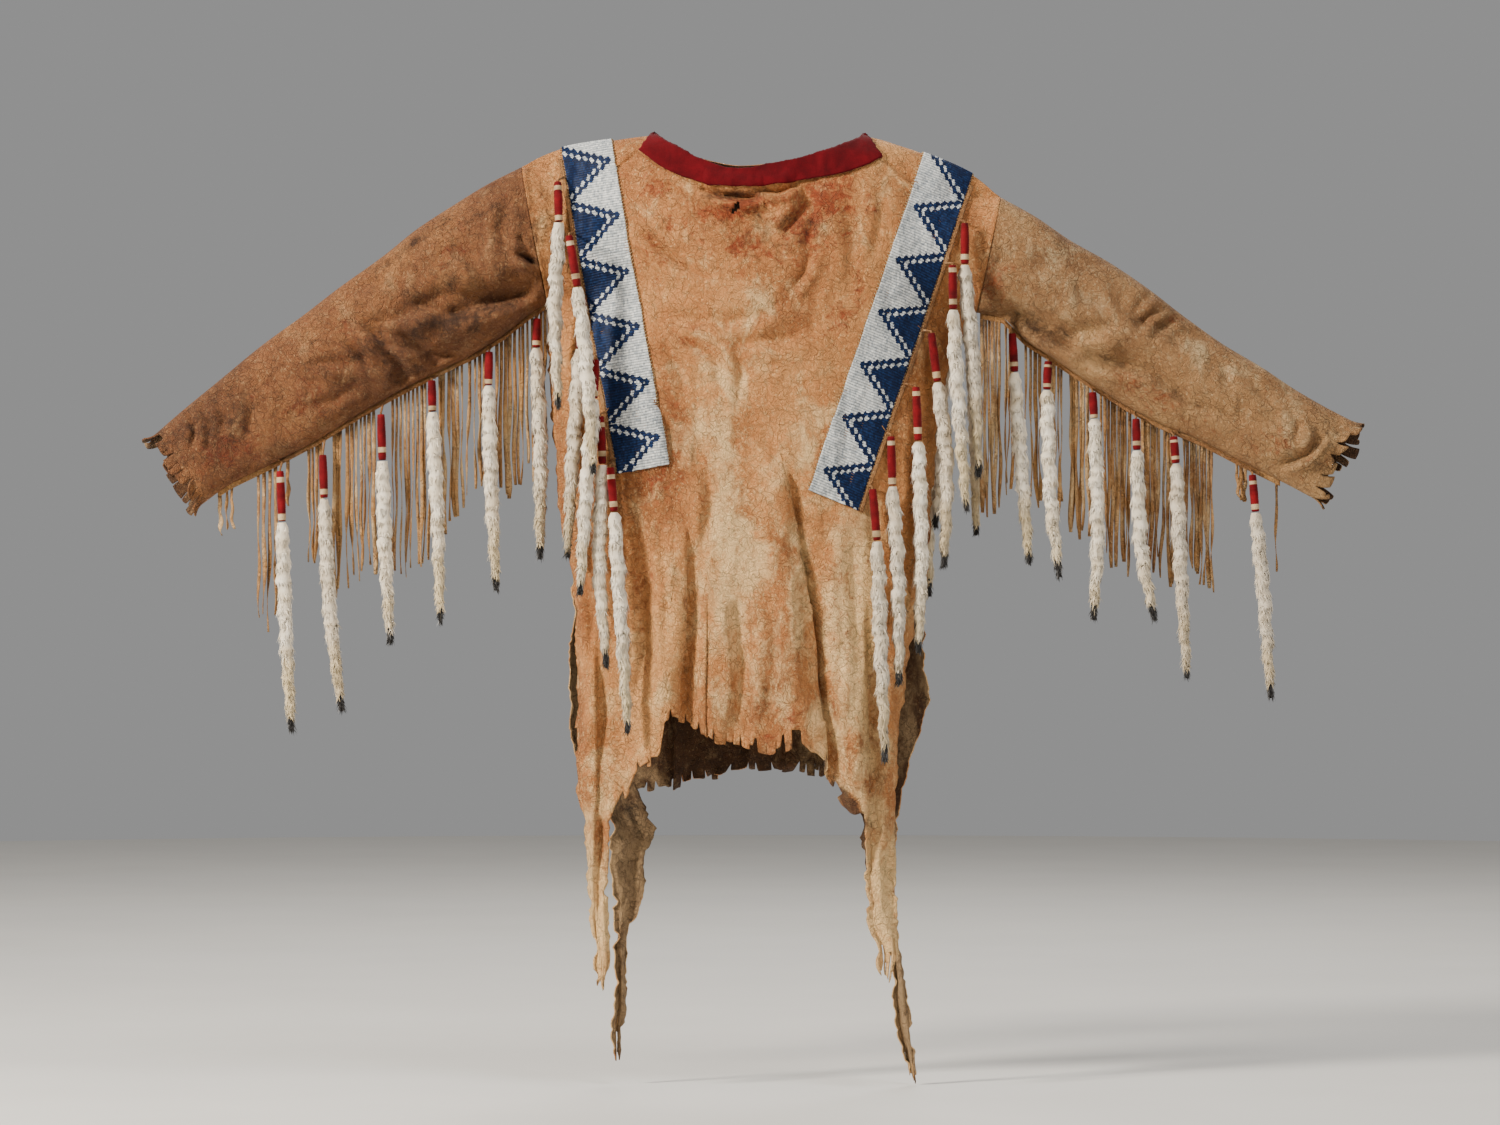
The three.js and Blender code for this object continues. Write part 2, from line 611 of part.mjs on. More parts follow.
function panelSheet(panel) {
  const points = [];
  const faces = [];
  const flip = panel.sign > 0;
  const wide = COLUMNS + 1;
  const hemRow = ROW_SHARES.length - 1;
  const put = (p) => points.push(p) - 1;
  for (const part of ROW_SHARES) {
    for (let i = 0; i < wide; i += 1) {
      const share = columnShare(i);
      const z = lerp(topEdge(panel, columnTop(i)), hemAt(panel, share), part);
      put(onPanel(panel, acrossPanel(panel, share, z), z));
    }
  }
  const at = (row, i) => row * wide + i;
  const hasLeg = (i) => panel.legs.some((leg) => i >= leg.from && i < leg.from + leg.count);
  for (let row = 0; row < hemRow; row += 1) {
    for (let i = 0; i < COLUMNS; i += 1) {
      if (row === hemRow - 1 && !hasLeg(i)) continue;
      cell(faces, flip, at(row, i), at(row + 1, i), at(row + 1, i + 1), at(row, i + 1));
    }
  }
  // The hem row carries a cut tab on each column.
  for (let i = 0; i < COLUMNS; i += 1) {
    if (hasLeg(i)) continue;
    const p = points[at(hemRow, i)];
    const q = points[at(hemRow, i + 1)];
    const length = HEM_TAB + 4 * Math.sin(i * 2.3);
    const a = put(p.clone().lerp(q, 0.16));
    const b = put(p.clone().lerp(q, 0.84));
    const c = put(p.clone().lerp(q, 0.22).add(new THREE.Vector3(0, 0, -length)));
    const d = put(p.clone().lerp(q, 0.8).add(new THREE.Vector3(0, 0, -length + 1.5)));
    const up = at(hemRow - 1, i);
    const upNext = at(hemRow - 1, i + 1);
    const fan = [
      [up, at(hemRow, i), a],
      [up, a, b],
      [up, b, upNext],
      [upNext, b, at(hemRow, i + 1)],
      [a, c, d],
      [a, d, b],
    ];
    for (const [m, n, o] of fan) faces.push(flip ? [m, o, n] : [m, n, o]);
  }
  for (const leg of panel.legs) {
    let above = [];
    for (let i = 0; i <= leg.count; i += 1) above.push(at(hemRow, leg.from + i));
    const roots = above.map((k) => points[k].y);
    const mean = roots.reduce((sum, y) => sum + y, 0) / roots.length;
    const firstZ = leg.rows[0].z;
    const lastZ = leg.rows[leg.rows.length - 1].z;
    leg.rows.forEach((row, k) => {
      const down = (row.z - firstZ) / (lastZ - firstZ);
      const isLast = k === leg.rows.length - 1;
      const below = [];
      for (let i = 0; i <= leg.count; i += 1) {
        const x = lerp(row.left, row.right, i / leg.count);
        const flat = lerp(0.85, 0.3, ease(0, 0.5, down));
        const cup = 3 * Math.sin((Math.PI * i) / leg.count) * panel.sign * down;
        const y = mean + (roots[i] - mean) * flat + cup + leg.sway * Math.sin(down * 4.2);
        below.push(put(new THREE.Vector3(x, y, row.z + (isLast ? leg.ends[i] : 0))));
      }
      for (let i = 0; i < leg.count; i += 1) {
        cell(faces, flip, above[i], below[i], below[i + 1], above[i + 1]);
      }
      above = below;
    });
  }
  return { points, faces };
}

for (const [name, panel] of [['front_panel', FRONT], ['back_panel', BACK]]) {
  panel.sheet = panelSheet(panel);
  add(name, shell(panel.sheet.points, panel.sheet.faces, -HIDE_WALL / 2, HIDE_WALL / 2), HIDE);
}

// Depth of a panel's flat facets at a place, or 0 beside the panel.
function facetDepth(panel, x, z) {
  const { points, faces } = panel.sheet;
  for (const [i, j, k] of faces) {
    const [a, b, c] = [points[i], points[j], points[k]];
    const area = (b.x - a.x) * (c.z - a.z) - (c.x - a.x) * (b.z - a.z);
    const s = ((b.x - x) * (c.z - z) - (c.x - x) * (b.z - z)) / area;
    const t = ((c.x - x) * (a.z - z) - (a.x - x) * (c.z - z)) / area;
    if (s < -1e-6 || t < -1e-6 || s + t > 1 + 1e-6) continue;
    return Math.abs(s * a.y + t * b.y + (1 - s - t) * c.y);
  }
  return 0;
}

// Moves a sheet that lies on a panel out until none of its facets cuts the panel's facets.
function seat(points, faces, panelOf) {
  const steps = 4;
  const normal = new THREE.Vector3();
  for (let round = 0; round < 4; round += 1) {
    for (const face of faces) {
      const [a, b, c] = face.map((k) => points[k]);
      const panel = panelOf(face);
      normal.subVectors(b, a).cross(new THREE.Vector3().subVectors(c, a)).normalize();
      let lack = 0;
      for (let i = 0; i <= steps; i += 1) {
        for (let j = 0; i + j <= steps; j += 1) {
          const p = new THREE.Vector3().addScaledVector(a, i / steps);
          p.addScaledVector(b, j / steps).addScaledVector(c, (steps - i - j) / steps);
          lack = Math.max(lack, facetDepth(panel, p.x, p.z) - Math.abs(p.y));
        }
      }
      for (const k of face) points[k].addScaledVector(normal, lack * Math.abs(normal.y));
    }
  }
}

// Sleeves: rings from the armhole to the cuff, with cut tabs round the cuff.
function sleevePoint(rows, ring, turn) {
  const k = Math.min(rows.length - 2, Math.floor(ring));
  const t = ring - k;
  const mix = (name) => lerp(rows[k][name], rows[k + 1][name], t);
  const c = Math.cos(turn);
  const s = Math.sin(turn);
  let scale = 1;
  for (const fold of SLEEVE_FOLDS) {
    const apart = (turn * 180) / Math.PI - fold.turn;
    const near = Math.exp(-(((ring - fold.ring) / fold.rings) ** 2) - (apart / fold.degrees) ** 2);
    scale -= (fold.deep / mix('deep')) * near;
  }
  const x = (mix('topX') + mix('underX')) / 2 + ((mix('topX') - mix('underX')) / 2) * c;
  const z = (mix('topZ') + mix('underZ')) / 2 + ((mix('topZ') - mix('underZ')) / 2) * c;
  const last = rows.length - 1;
  // The cuff leans, so that its front edge is further up the arm than its back edge.
  const lean = CUFF_LEAN * s * ease(last - 1, last, ring);
  const y = -mix('deep') * s * (1 + FULLER_ABOVE * c) * scale;
  return new THREE.Vector3(x - lean * 0.8 * Math.sign(rows[0].topX), y, z + lean * 0.55);
}

function sleeve(name, rows) {
  const outward = Math.sign(rows[0].topX);
  const points = [];
  const faces = [];
  const flip = outward > 0;
  const put = (p) => points.push(p) - 1;
  const last = rows.length - 1;
  for (let ring = 0; ring <= last; ring += 1) {
    for (let k = 0; k < AROUND_SLEEVE; k += 1) {
      const p = sleevePoint(rows, ring, (2 * Math.PI * k) / AROUND_SLEEVE);
      if (ring === 0) p.add(new THREE.Vector3(outward * ARMHOLE_GAP, 0, -0.5));
      put(p);
    }
  }
  const at = (ring, k) => ring * AROUND_SLEEVE + (k % AROUND_SLEEVE);
  for (let ring = 0; ring < last - 1; ring += 1) {
    for (let k = 0; k < AROUND_SLEEVE; k += 1) {
      cell(faces, flip, at(ring, k), at(ring, k + 1), at(ring + 1, k + 1), at(ring + 1, k));
    }
  }
  for (let k = 0; k < AROUND_SLEEVE; k += 1) {
    const p = points[at(last, k)];
    const q = points[at(last, k + 1)];
    const along = p.clone().sub(points[at(last - 1, k)]).normalize();
    const reach = along.multiplyScalar(CUFF_TAB + 3 * Math.sin(k * 1.9));
    const a = put(p.clone().lerp(q, 0.12));
    const b = put(p.clone().lerp(q, 0.88));
    const c = put(p.clone().lerp(q, 0.17).add(reach));
    const d = put(p.clone().lerp(q, 0.83).add(reach));
    const up = at(last - 1, k);
    const upNext = at(last - 1, k + 1);
    const fan = [
      [up, a, at(last, k)],
      [up, b, a],
      [up, upNext, b],
      [upNext, at(last, k + 1), b],
      [a, d, c],
      [a, b, d],
    ];
    for (const [m, n, o] of fan) faces.push(flip ? [m, o, n] : [m, n, o]);
  }
  add(name, shell(points, faces, -HIDE_WALL / 2, HIDE_WALL / 2), HIDE);
}

sleeve('sleeve_left', SLEEVE_LEFT);
sleeve('sleeve_right', SLEEVE_RIGHT);

// Beaded strips: each runs up the front, over the shoulder line and down the back.
const RUN_STEPS = [0, 0.005, 0.012, 0.027, 0.044, 0.066, 0.09, 0.12, 0.15, 0.185, 0.22, 0.26, 0.3,
  0.37, 0.43, 0.48, 0.54, 0.63, 0.72, 0.81, 0.9, 1];

// A point of a strip: "across" is -1 at its outer edge and 1 at its inner edge, "run" is 0 on the
// shoulder line and 1 at the strip's end.
function stripPoint(strip, panel, across, run) {
  const x = strip.x + strip.acrossX * across + strip.runX * run;
  const z = strip.z + strip.acrossZ * across + strip.runZ * run;
  const crest = read(SHOULDER, 'x', 'z', x);
  if (run === 0) return new THREE.Vector3(x, 0, crest);
  return onPanel(panel, x, Math.min(z, crest - 0.2));
}

function beadedStrip(name, strip) {
  const points = [];
  const faces = [];
  const rows = [
    ...[...RUN_STEPS].reverse().map((run) => [FRONT, run]),
    ...RUN_STEPS.slice(1).map((run) => [BACK, run]),
  ];
  const flip = strip.acrossX < 0;
  rows.forEach(([panel, run]) => {
    for (const across of [-1, 0, 1]) points.push(stripPoint(strip, panel, across, run));
  });
  for (let row = 0; row + 1 < rows.length; row += 1) {
    for (const a of [row * 3, row * 3 + 1]) cell(faces, !flip, a, a + 3, a + 4, a + 1);
  }
  const crest = (RUN_STEPS.length - 1) * 3;
  seat(points, faces, (face) => (Math.min(...face) < crest ? FRONT : BACK));
  const row = (k) => ({ edge: points[k * 3], middle: points[k * 3 + 1] });
  const top = RUN_STEPS.length - 1;
  strip.front = RUN_STEPS.map((_, k) => row(top - k));
  strip.back = RUN_STEPS.map((_, k) => row(top + k));
  const low = HIDE_WALL / 2 + STRIP_CLEAR;
  add(name, shell(points, faces, low, low + STRIP_WALL), BEADS);
}

beadedStrip('beaded_strip_left', STRIP_LEFT);
beadedStrip('beaded_strip_right', STRIP_RIGHT);

// Red wool band, laid on the front round the neck.
function neckBand() {
  const points = [];
  const faces = [];
  const stepsAcross = 3;
  NECK_BAND.forEach((row) => {
    for (let i = 0; i <= stepsAcross; i += 1) {
      const x = lerp(row.upX, row.lowX, i / stepsAcross);
      const z = Math.min(lerp(row.upZ, row.lowZ, i / stepsAcross), read(SHOULDER, 'x', 'z', x));
      points.push(onPanel(FRONT, x, z));
    }
  });
  const wide = stepsAcross + 1;
  for (let k = 0; k + 1 < NECK_BAND.length; k += 1) {
    for (let i = 0; i < stepsAcross; i += 1) {
      const a = k * wide + i;
      cell(faces, false, a, a + 1, a + 1 + wide, a + wide);
    }
  }
  seat(points, faces, () => FRONT);
  const low = HIDE_WALL / 2 + BAND_CLEAR;
  return shell(points, faces, low, low + STRIP_WALL);
}

add('neck_band', neckBand(), WOOL);

// Hanging drops. A wrapped head hangs on a thong from an edging strip, and the fur hangs below it.
function dropPath(drop, place) {
  const down = [
    { part: 0, x: drop.x1, z: drop.z1 },
    { part: 1, x: drop.x2, z: drop.z2 },
    { part: 2, x: drop.x3, z: drop.z3 },
    { part: 3, x: drop.x4, z: drop.z4 },
  ];
  return place.map((part) => [read(down, 'part', 'x', part), read(down, 'part', 'z', part)]);
}

const HEAD_PLACES = [0, 0.5, 1];
const FUR_PLACES = [1, 1.07, 1.6, 2.2, 2.75, 3];
const FUR_SHARES = [0.5, 0.88, 1, 0.94, 0.6, 0.24];

// Distance of a drop from the shoulder plane: it rests on whatever stands out most above it.
function restDepth(drop, panel) {
  const places = [...HEAD_PLACES, ...FUR_PLACES];
  let most = 0;
  return dropPath(drop, places).map(([x, z]) => {
    for (const side of [-8, 0, 8]) {
      most = Math.max(most, bodyDepth(panel, x + side, z) + HIDE_WALL / 2);
    }
    return most + FUR_RADIUS + DROP_CLEAR + drop.out;
  });
}

// Height of a sleeve's under side, straight from ring to ring.
function underSleeve(rows, x) {
  const outward = Math.sign(rows[0].topX);
  let k = 0;
  while (k < rows.length - 2 && (x - rows[k + 1].underX) * outward > 0) k += 1;
  const t = (x - rows[k].underX) / (rows[k + 1].underX - rows[k].underX);
  return lerp(rows[k].underZ, rows[k + 1].underZ, t);
}

function furAndHead(drop, depthAt) {
  const head = dropPath(drop, HEAD_PLACES).map(([x, z], k) => new THREE.Vector3(x, depthAt(k), z));
  const places = FUR_PLACES.map((part) => (part === 1 ? 1 + FUR_GAP / (drop.z2 - drop.z3) : part));
  const fur = dropPath(drop, places).map(
    ([x, z], k) => new THREE.Vector3(x, depthAt(k + HEAD_PLACES.length), z),
  );
  return { head, fur };
}

function thong(start, lift, top) {
  const above = top.clone();
  above.z += 2.5;
  const inside = top.clone();
  inside.z -= 2;
  return tube([start, lift, above, inside], [1.6, 1.8, 2, 2], 3);
}

function dropsOnStrip(where, strip, panel, drops) {
  // Edging strip along the outer edge of the beaded strip.
  const points = [];
  const faces = [];
  const runs = RUN_STEPS.slice(3);
  strip[panel.side].slice(3).forEach(({ edge, middle }) => {
    const outward = edge.clone().sub(middle).normalize();
    points.push(edge.clone().addScaledVector(outward, EDGING_GAP));
    points.push(edge.clone().addScaledVector(outward, EDGING_GAP + EDGING_WIDTH));
  });
  const flip = strip.acrossX > 0 === panel.sign < 0;
  for (let row = 0; row + 1 < runs.length; row += 1) {
    const a = row * 2;
    cell(faces, flip, a, a + 2, a + 3, a + 1);
  }
  seat(points, faces, () => panel);
  const low = HIDE_WALL / 2 + STRIP_CLEAR;
  const pieces = [shell(points, faces, low, low + EDGING_WALL)];
  drops.forEach((drop, k) => {
    const depths = restDepth(drop, panel);
    const { head, fur } = furAndHead(drop, (place) => panel.sign * depths[place]);
    // The thong leaves the edging a little above the head.
    const edgeZ = strip.z - strip.acrossZ;
    const run = Math.min(0.985, Math.max(0.05, (edgeZ - drop.z1 - 6) / -strip.runZ));
    const k1 = runs.findIndex((step) => step > run) - 1;
    const mid = (row) => points[row * 2].clone().lerp(points[row * 2 + 1], 0.5);
    const start = mid(k1).lerp(mid(k1 + 1), (run - runs[k1]) / (runs[k1 + 1] - runs[k1]));
    start.y += panel.sign * (low + 1.0);
    const lift = start.clone();
    lift.y += panel.sign * 3.5;
    pieces.push(thong(start, lift, head[0]));
    pieces.push(tube(head, [HEAD_RADIUS * 0.86, HEAD_RADIUS, HEAD_RADIUS * 0.9], 5));
    add(`fur_${where}_${k + 1}`, tube(fur, FUR_SHARES.map((r) => r * FUR_RADIUS), 5), FUR);
  });
  add(`heads_${where}`, join(pieces), WRAP);
}

function dropsOnSleeve(where, rows, drops) {
  const outward = Math.sign(rows[0].topX);
  const points = [];
  const faces = [];
  const from = drops[0].x1;
  const to = drops[drops.length - 1].x1;
  const low = Math.min(from, to) - 14;
  const high = Math.max(from, to) + 12;
  const steps = 18;
  // The edging lies just in front of the fringe's strip.
  const y = -3.1;
  for (let k = 0; k <= steps; k += 1) {
    const x = lerp(low, high, k / steps);
    const z = underSleeve(rows, x) - FRINGE_CLEAR - 0.6;
    points.push(new THREE.Vector3(x, y, z), new THREE.Vector3(x, y, z - EDGING_WIDTH));
  }
  for (let k = 0; k < steps; k += 1) {
    const a = k * 2;
    cell(faces, false, a, a + 1, a + 3, a + 2);
  }
  const pieces = [shell(points, faces, -EDGING_WALL / 2, EDGING_WALL / 2)];
  drops.forEach((drop, k) => {
    const { head, fur } = furAndHead(drop, (place) => (place < 3 ? -14.5 - place : -17));
    const start = new THREE.Vector3(drop.x1 - outward * 2, -3.4, underSleeve(rows, drop.x1) - 4.6);
    const lift = start.clone().add(new THREE.Vector3(0, -3, -1));
    pieces.push(thong(start, lift, head[0]));
    pieces.push(tube(head, [HEAD_RADIUS * 0.86, HEAD_RADIUS, HEAD_RADIUS * 0.9], 5));
    add(`fur_${where}_${k + 1}`, tube(fur, FUR_SHARES.map((r) => r * FUR_RADIUS), 5), FUR);
  });
  add(`heads_${where}`, join(pieces), WRAP);
}

dropsOnStrip('front_left', STRIP_LEFT, FRONT, DROPS_FRONT_LEFT);
dropsOnStrip('front_right', STRIP_RIGHT, FRONT, DROPS_FRONT_RIGHT);
dropsOnStrip('back_left', STRIP_LEFT, BACK, DROPS_BACK_LEFT);
dropsOnStrip('back_right', STRIP_RIGHT, BACK, DROPS_BACK_RIGHT);
dropsOnSleeve('sleeve_left', SLEEVE_LEFT, DROPS_SLEEVE_LEFT);
dropsOnSleeve('sleeve_right', SLEEVE_RIGHT, DROPS_SLEEVE_RIGHT);

// Fringe: flat strands hanging from a narrow strip under each sleeve.
function fringe(name, rows, bunches) {
  const strands = [];
  bunches.forEach((bunch, b) => {
    const pitch = bunch.strands > 1 ? (bunch.to - bunch.from) / (bunch.strands - 1) : 0;
    for (let k = 0; k < bunch.strands; k += 1) {
      const wave = Math.sin((b * 5 + k) * 2.7);
      strands.push({
        x: bunch.from + pitch * k,
        wide: Math.min(6, pitch > 0 ? pitch * 0.72 : 6),
        length: bunch.length * (1 + 0.05 * wave),
        sway: Math.min(3, pitch > 0 ? pitch * 0.1 : 3) * Math.sin((b * 3 + k) * 1.3),
        swing: (k % 2 === 0 ? 2.2 : -2.2) * (1 + 0.3 * wave),
      });
    }
  });
  strands.sort((a, b) => a.x - b.x);
  const points = [];
  const faces = [];
  const put = (x, y, z) => points.push(new THREE.Vector3(x, y, z)) - 1;
  const topZ = (x) => underSleeve(rows, x) - FRINGE_CLEAR;
  let left = null;
  const stripSide = (x) => ({ up: put(x, 0, topZ(x)), low: put(x, 0, topZ(x) - FRINGE_STRIP) });
  const bridge = (a, b) => cell(faces, false, a.up, a.low, b.low, b.up);
  strands.forEach((strand) => {
    const x1 = strand.x - strand.wide / 2;
    const x2 = strand.x + strand.wide / 2;
    if (left !== null) {
      const from = left.x;
      const steps = Math.max(1, Math.round((x1 - from) / 40));
      for (let k = 1; k < steps; k += 1) {
        const between = stripSide(lerp(from, x1, k / steps));
        bridge(left.side, between);
        left.side = between;
      }
    }
    const a = stripSide(x1);
    const b = stripSide(x2);
    if (left !== null) bridge(left.side, a);
    bridge(a, b);
    const root = topZ(strand.x) - FRINGE_STRIP;
    const mid = root - strand.length * 0.45;
    const end = root - strand.length;
    const c = put(x1 + strand.sway, strand.swing, mid);
    const d = put(x2 + strand.sway - 0.5, strand.swing, mid);
    const e = put(x1 + strand.sway * 0.4 + 0.8, strand.swing * 0.6, end);
    const f = put(x2 + strand.sway * 0.4 - 0.8, strand.swing * 0.6, end + 4);
    cell(faces, false, a.low, c, d, b.low);
    cell(faces, false, c, e, f, d);
    left = { x: x2, side: b };
  });
  add(name, shell(points, faces, -FRINGE_WALL / 2, FRINGE_WALL / 2), THONG);
}

fringe('fringe_sleeve_left', SLEEVE_LEFT, FRINGE_LEFT);
fringe('fringe_sleeve_right', SLEEVE_RIGHT, FRINGE_RIGHT);

export default group;
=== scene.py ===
import math

import bpy
import numpy as np
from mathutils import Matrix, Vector


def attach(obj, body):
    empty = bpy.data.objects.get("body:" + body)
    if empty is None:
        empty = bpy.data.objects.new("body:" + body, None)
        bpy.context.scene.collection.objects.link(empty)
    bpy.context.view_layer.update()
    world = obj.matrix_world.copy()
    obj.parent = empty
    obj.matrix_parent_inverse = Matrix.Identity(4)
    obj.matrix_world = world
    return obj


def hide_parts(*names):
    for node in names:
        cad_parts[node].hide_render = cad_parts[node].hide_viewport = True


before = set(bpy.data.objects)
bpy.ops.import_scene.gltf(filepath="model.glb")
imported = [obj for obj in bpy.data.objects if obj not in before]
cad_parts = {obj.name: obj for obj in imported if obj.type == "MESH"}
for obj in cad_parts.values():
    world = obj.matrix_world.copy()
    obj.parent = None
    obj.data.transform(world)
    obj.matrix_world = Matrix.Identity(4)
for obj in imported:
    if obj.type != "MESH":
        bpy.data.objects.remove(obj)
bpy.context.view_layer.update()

# A hide war shirt held at the shoulders. Lengths are millimetres until a mesh is made.
MM = 0.001

# Driving sizes
HIDE_WALL = 1.8
SEAM_SIDE = 1.1
CROWN_HEIGHT = 120
STRIP_CLEAR = 1.2
BACKING_WALL = 0.9
BEAD_LIFT = 1.1
STITCH_PITCH = 4.6
STITCH_RADIUS = 0.45
BAND_CLEAR = 1.1
BAND_WALL = 1.6
EDGING_WIDTH = 5
EDGING_GAP = 0.7
EDGING_WALL = 1.8
FRINGE_STRIP = 6
FRINGE_CLEAR = 2.0
FRINGE_WALL = 1.6
STRAND_HALF_WIDTH = (1.8, 3.1)
STRAND_HALF_THICK = 0.75
HEAD_RADIUS = 6.5
THONG_RADIUS = 1.5
FUR_RADIUS = 10.4
DROP_CLEAR = 1.2
ARMHOLE_GAP = 1.3
OPEN_SIDE_DEPTH = 11
FULLER_ABOVE = 0.15
CUFF_LEAN = 9
CUFF_CUT = 20
TAB_CURL = 0.35
FOLD_SHIFT = 9
HEM_GUESS = -860.0
FLOOR_RADIUS, FLOOR_Z = 6.5, -1.276  # in metres

# Fineness of the meshes
FRONT_CELLS = (176, 205)
BACK_CELLS = (146, 170)
SLEEVE_AROUND = 124
SLEEVE_RINGS = 176
BEAD_ACROSS = 2.5
BEAD_ALONG = 3.6
TAB_STEPS = 5
LEG_STEP = 4.2
FUR_RINGS = 44
FUR_SIDES = 12
TUFTS_PER_MM = 5.4
STRANDS_FOR_ONE = 1.45

def table(columns, *rows):
    data = np.array(rows, dtype=float)
    return {name: data[:, k] for k, name in enumerate(columns.split())}


def drops(*rows):
    """Drops: top and foot of the head, middle and tip of the fur, and how far it stands out."""
    return table("x1 z1 x2 z2 x3 z3 x4 z4 out", *rows)

SHOULDER = table(
    "x z",
    (-326, -24), (-300, -10), (-273, 0), (-201, 12), (-145, 19), (0, 26), (142, 17), (193, 3),
    (219, -6), (286, -35), (324, -65),
)
NECKLINE = table(
    "x front back",
    (-145, 19, 19), (-110, -6, 2), (-78, -23, -9), (-28, -35, -17), (40, -22, -9), (97, -5, 3),
    (142, 17, 17),
)
FRONT_SIDES = table(
    "z left right",
    (-24, -326, 324), (-65, -318.4, 324), (-70, -317.5, 323), (-140, -304.6, 308.5),
    (-208, -292, 294.5), (-220, -291.5, 292), (-286, -289, 258), (-367, -284, 240),
    (-422, -279, 235), (-503, -272, 228), (-585, -256, 218), (-640, -252, 208), (-734, -250, 193),
    (-823, -252, 185), (-905, -250, 181),
)
BACK_SIDES = table(
    "z left right",
    (-24, -326, 324), (-65, -318.4, 324), (-70, -317.5, 323), (-140, -304.6, 308.5),
    (-208, -292, 294.5), (-220, -291.5, 292), (-286, -289, 258), (-367, -284, 240),
    (-503, -270, 230), (-585, -258, 224), (-640, -256, 220), (-700, -262, 222), (-745, -262, 227),
    (-786, -260, 220), (-838, -250, 200), (-884, -222, 190),
)
FRONT_HEM = table(
    "x z",
    (-250, -880), (-189, -870), (-166, -826), (-139, -812), (-129, -758), (-105, -766),
    (-54, -789), (-29, -793), (11, -801), (44, -787), (70, -801), (92, -844), (136, -899),
    (181, -905),
)
BACK_HEM = table(
    "x z",
    (-230, -880), (-166, -862), (-131, -858), (-105, -850), (-48, -840), (0, -834), (83, -838),
    (128, -870), (188, -884),
)
BODY_SWELL = table(
    "z front back",
    (30, 74, 72), (-150, 78, 76), (-400, 70, 70), (-600, 64, 68), (-800, 58, 66), (-910, 56, 64),
)
FRONT_FOLDS = table(
    "x1 z1 x2 z2 deep wide",
    (-99, -520, -110, -780, 15, 17), (26, -430, 84, -850, 17, 19), (-35, -500, -44, -800, 8, 17),
    (-185, -470, -196, -870, 7, 18), (138, -430, 146, -890, 8, 17),
)
BACK_FOLDS = table(
    "x1 z1 x2 z2 deep wide",
    (-120, -480, -138, -850, 14, 18), (-20, -460, -14, -830, 12, 18),
    (70, -440, 96, -850, 14, 18), (160, -480, 168, -870, 7, 17),
)
LEG_FRONT_LEFT = table(
    "z left right",
    (-903, -243, -203), (-950, -240, -206), (-993, -238, -208), (-1050, -234, -207),
    (-1099, -231, -205), (-1124, -225, -211),
)
LEG_FRONT_RIGHT = table(
    "z left right",
    (-940, 139, 182), (-986, 137, 182), (-1048, 140, 184), (-1092, 150, 186), (-1106, 155, 180),
)
LEG_BACK_LEFT = table(
    "z left right",
    (-925, -208, -143), (-964, -209, -155), (-1010, -205, -160), (-1055, -203, -174),
    (-1100, -203, -183), (-1157, -204, -185), (-1212, -205, -187), (-1232, -204, -194),
)
LEG_BACK_RIGHT = table(
    "z left right",
    (-925, 132, 186), (-968, 140, 183), (-1030, 155, 182), (-1099, 172, 190), (-1150, 177, 199),
    (-1200, 183, 208), (-1254, 197, 212),
)
SLEEVE_LEFT = table(
    "topX topZ underX underZ deep",
    (-326, -24, -292, -208, 44), (-370, -46, -316, -223, 46), (-419, -76, -350, -250, 47),
    (-468, -108, -392, -277, 46), (-513, -144, -438, -299, 44), (-577, -190, -496, -329, 42),
    (-621, -224, -544, -356, 40), (-680, -267, -601, -392, 37), (-736, -313, -662, -424, 33),
    (-792, -359, -724, -454, 29), (-823, -386, -759, -479, 27),
)
SLEEVE_RIGHT = table(
    "topX topZ underX underZ deep",
    (324, -65, 292, -220, 42), (371, -91, 328, -228, 44), (418, -123, 358, -258, 45),
    (471, -153, 392, -280, 44), (523, -188, 443, -314, 42), (575, -228, 495, -347, 40),
    (627, -265, 545, -373, 37), (679, -296, 600, -396, 34), (724, -326, 654, -424, 31),
    (769, -352, 717, -455, 28), (802, -369, 749, -472, 26),
)
SLEEVE_FOLDS = table(
    "ring turn deep rings degrees",
    (2.2, 120, 5, 0.8, 34), (5.0, 62, 4, 0.7, 30), (5.4, 128, 6, 0.8, 30), (7.6, 95, 3, 0.7, 40),
    (3.0, 236, 5, 0.9, 34), (5.6, 250, 6, 0.8, 34), (8.2, 270, 3, 0.7, 36),
)
NECK_BAND = table(
    "upX upZ lowX lowZ",
    (-145, 18, -166, -3), (-110, -3, -134, -29), (-78, -20, -102, -43), (-52, -29, -62, -53),
    (-28, -32, -22, -55), (10, -25, 17, -52), (40, -19, 57, -46), (70, -11, 97, -39),
    (97, -2, 136, -27), (142, 16, 162, -14),
)
DROPS_FRONT_LEFT = drops(
    (-276, -47, -274, -101, -279, -218, -275, -352, 0),
    (-259, -122, -248, -190, -235, -301, -226, -441, 36),
    (-242, -204, -246, -272, -254, -404, -263, -554, 0),
    (-224, -288, -226, -340, -236, -462, -245, -605, 13),
    (-218, -364, -215, -428, -219, -558, -209, -703, 0),
    (-204, -433, -199, -492, -190, -630, -180, -791, 9),
)
DROPS_FRONT_RIGHT = drops(
    (274, -103, 274, -158, 286, -306, 293, -446, 0),
    (257, -160, 258, -219, 265, -347, 276, -491, 8),
    (229, -251, 237, -316, 250, -437, 246, -567, 0),
    (208, -324, 211, -396, 215, -551, 211, -683, 0),
    (174, -391, 176, -457, 184, -592, 185, -726, 0),
    (149, -462, 155, -531, 160, -666, 166, -830, 0),
)
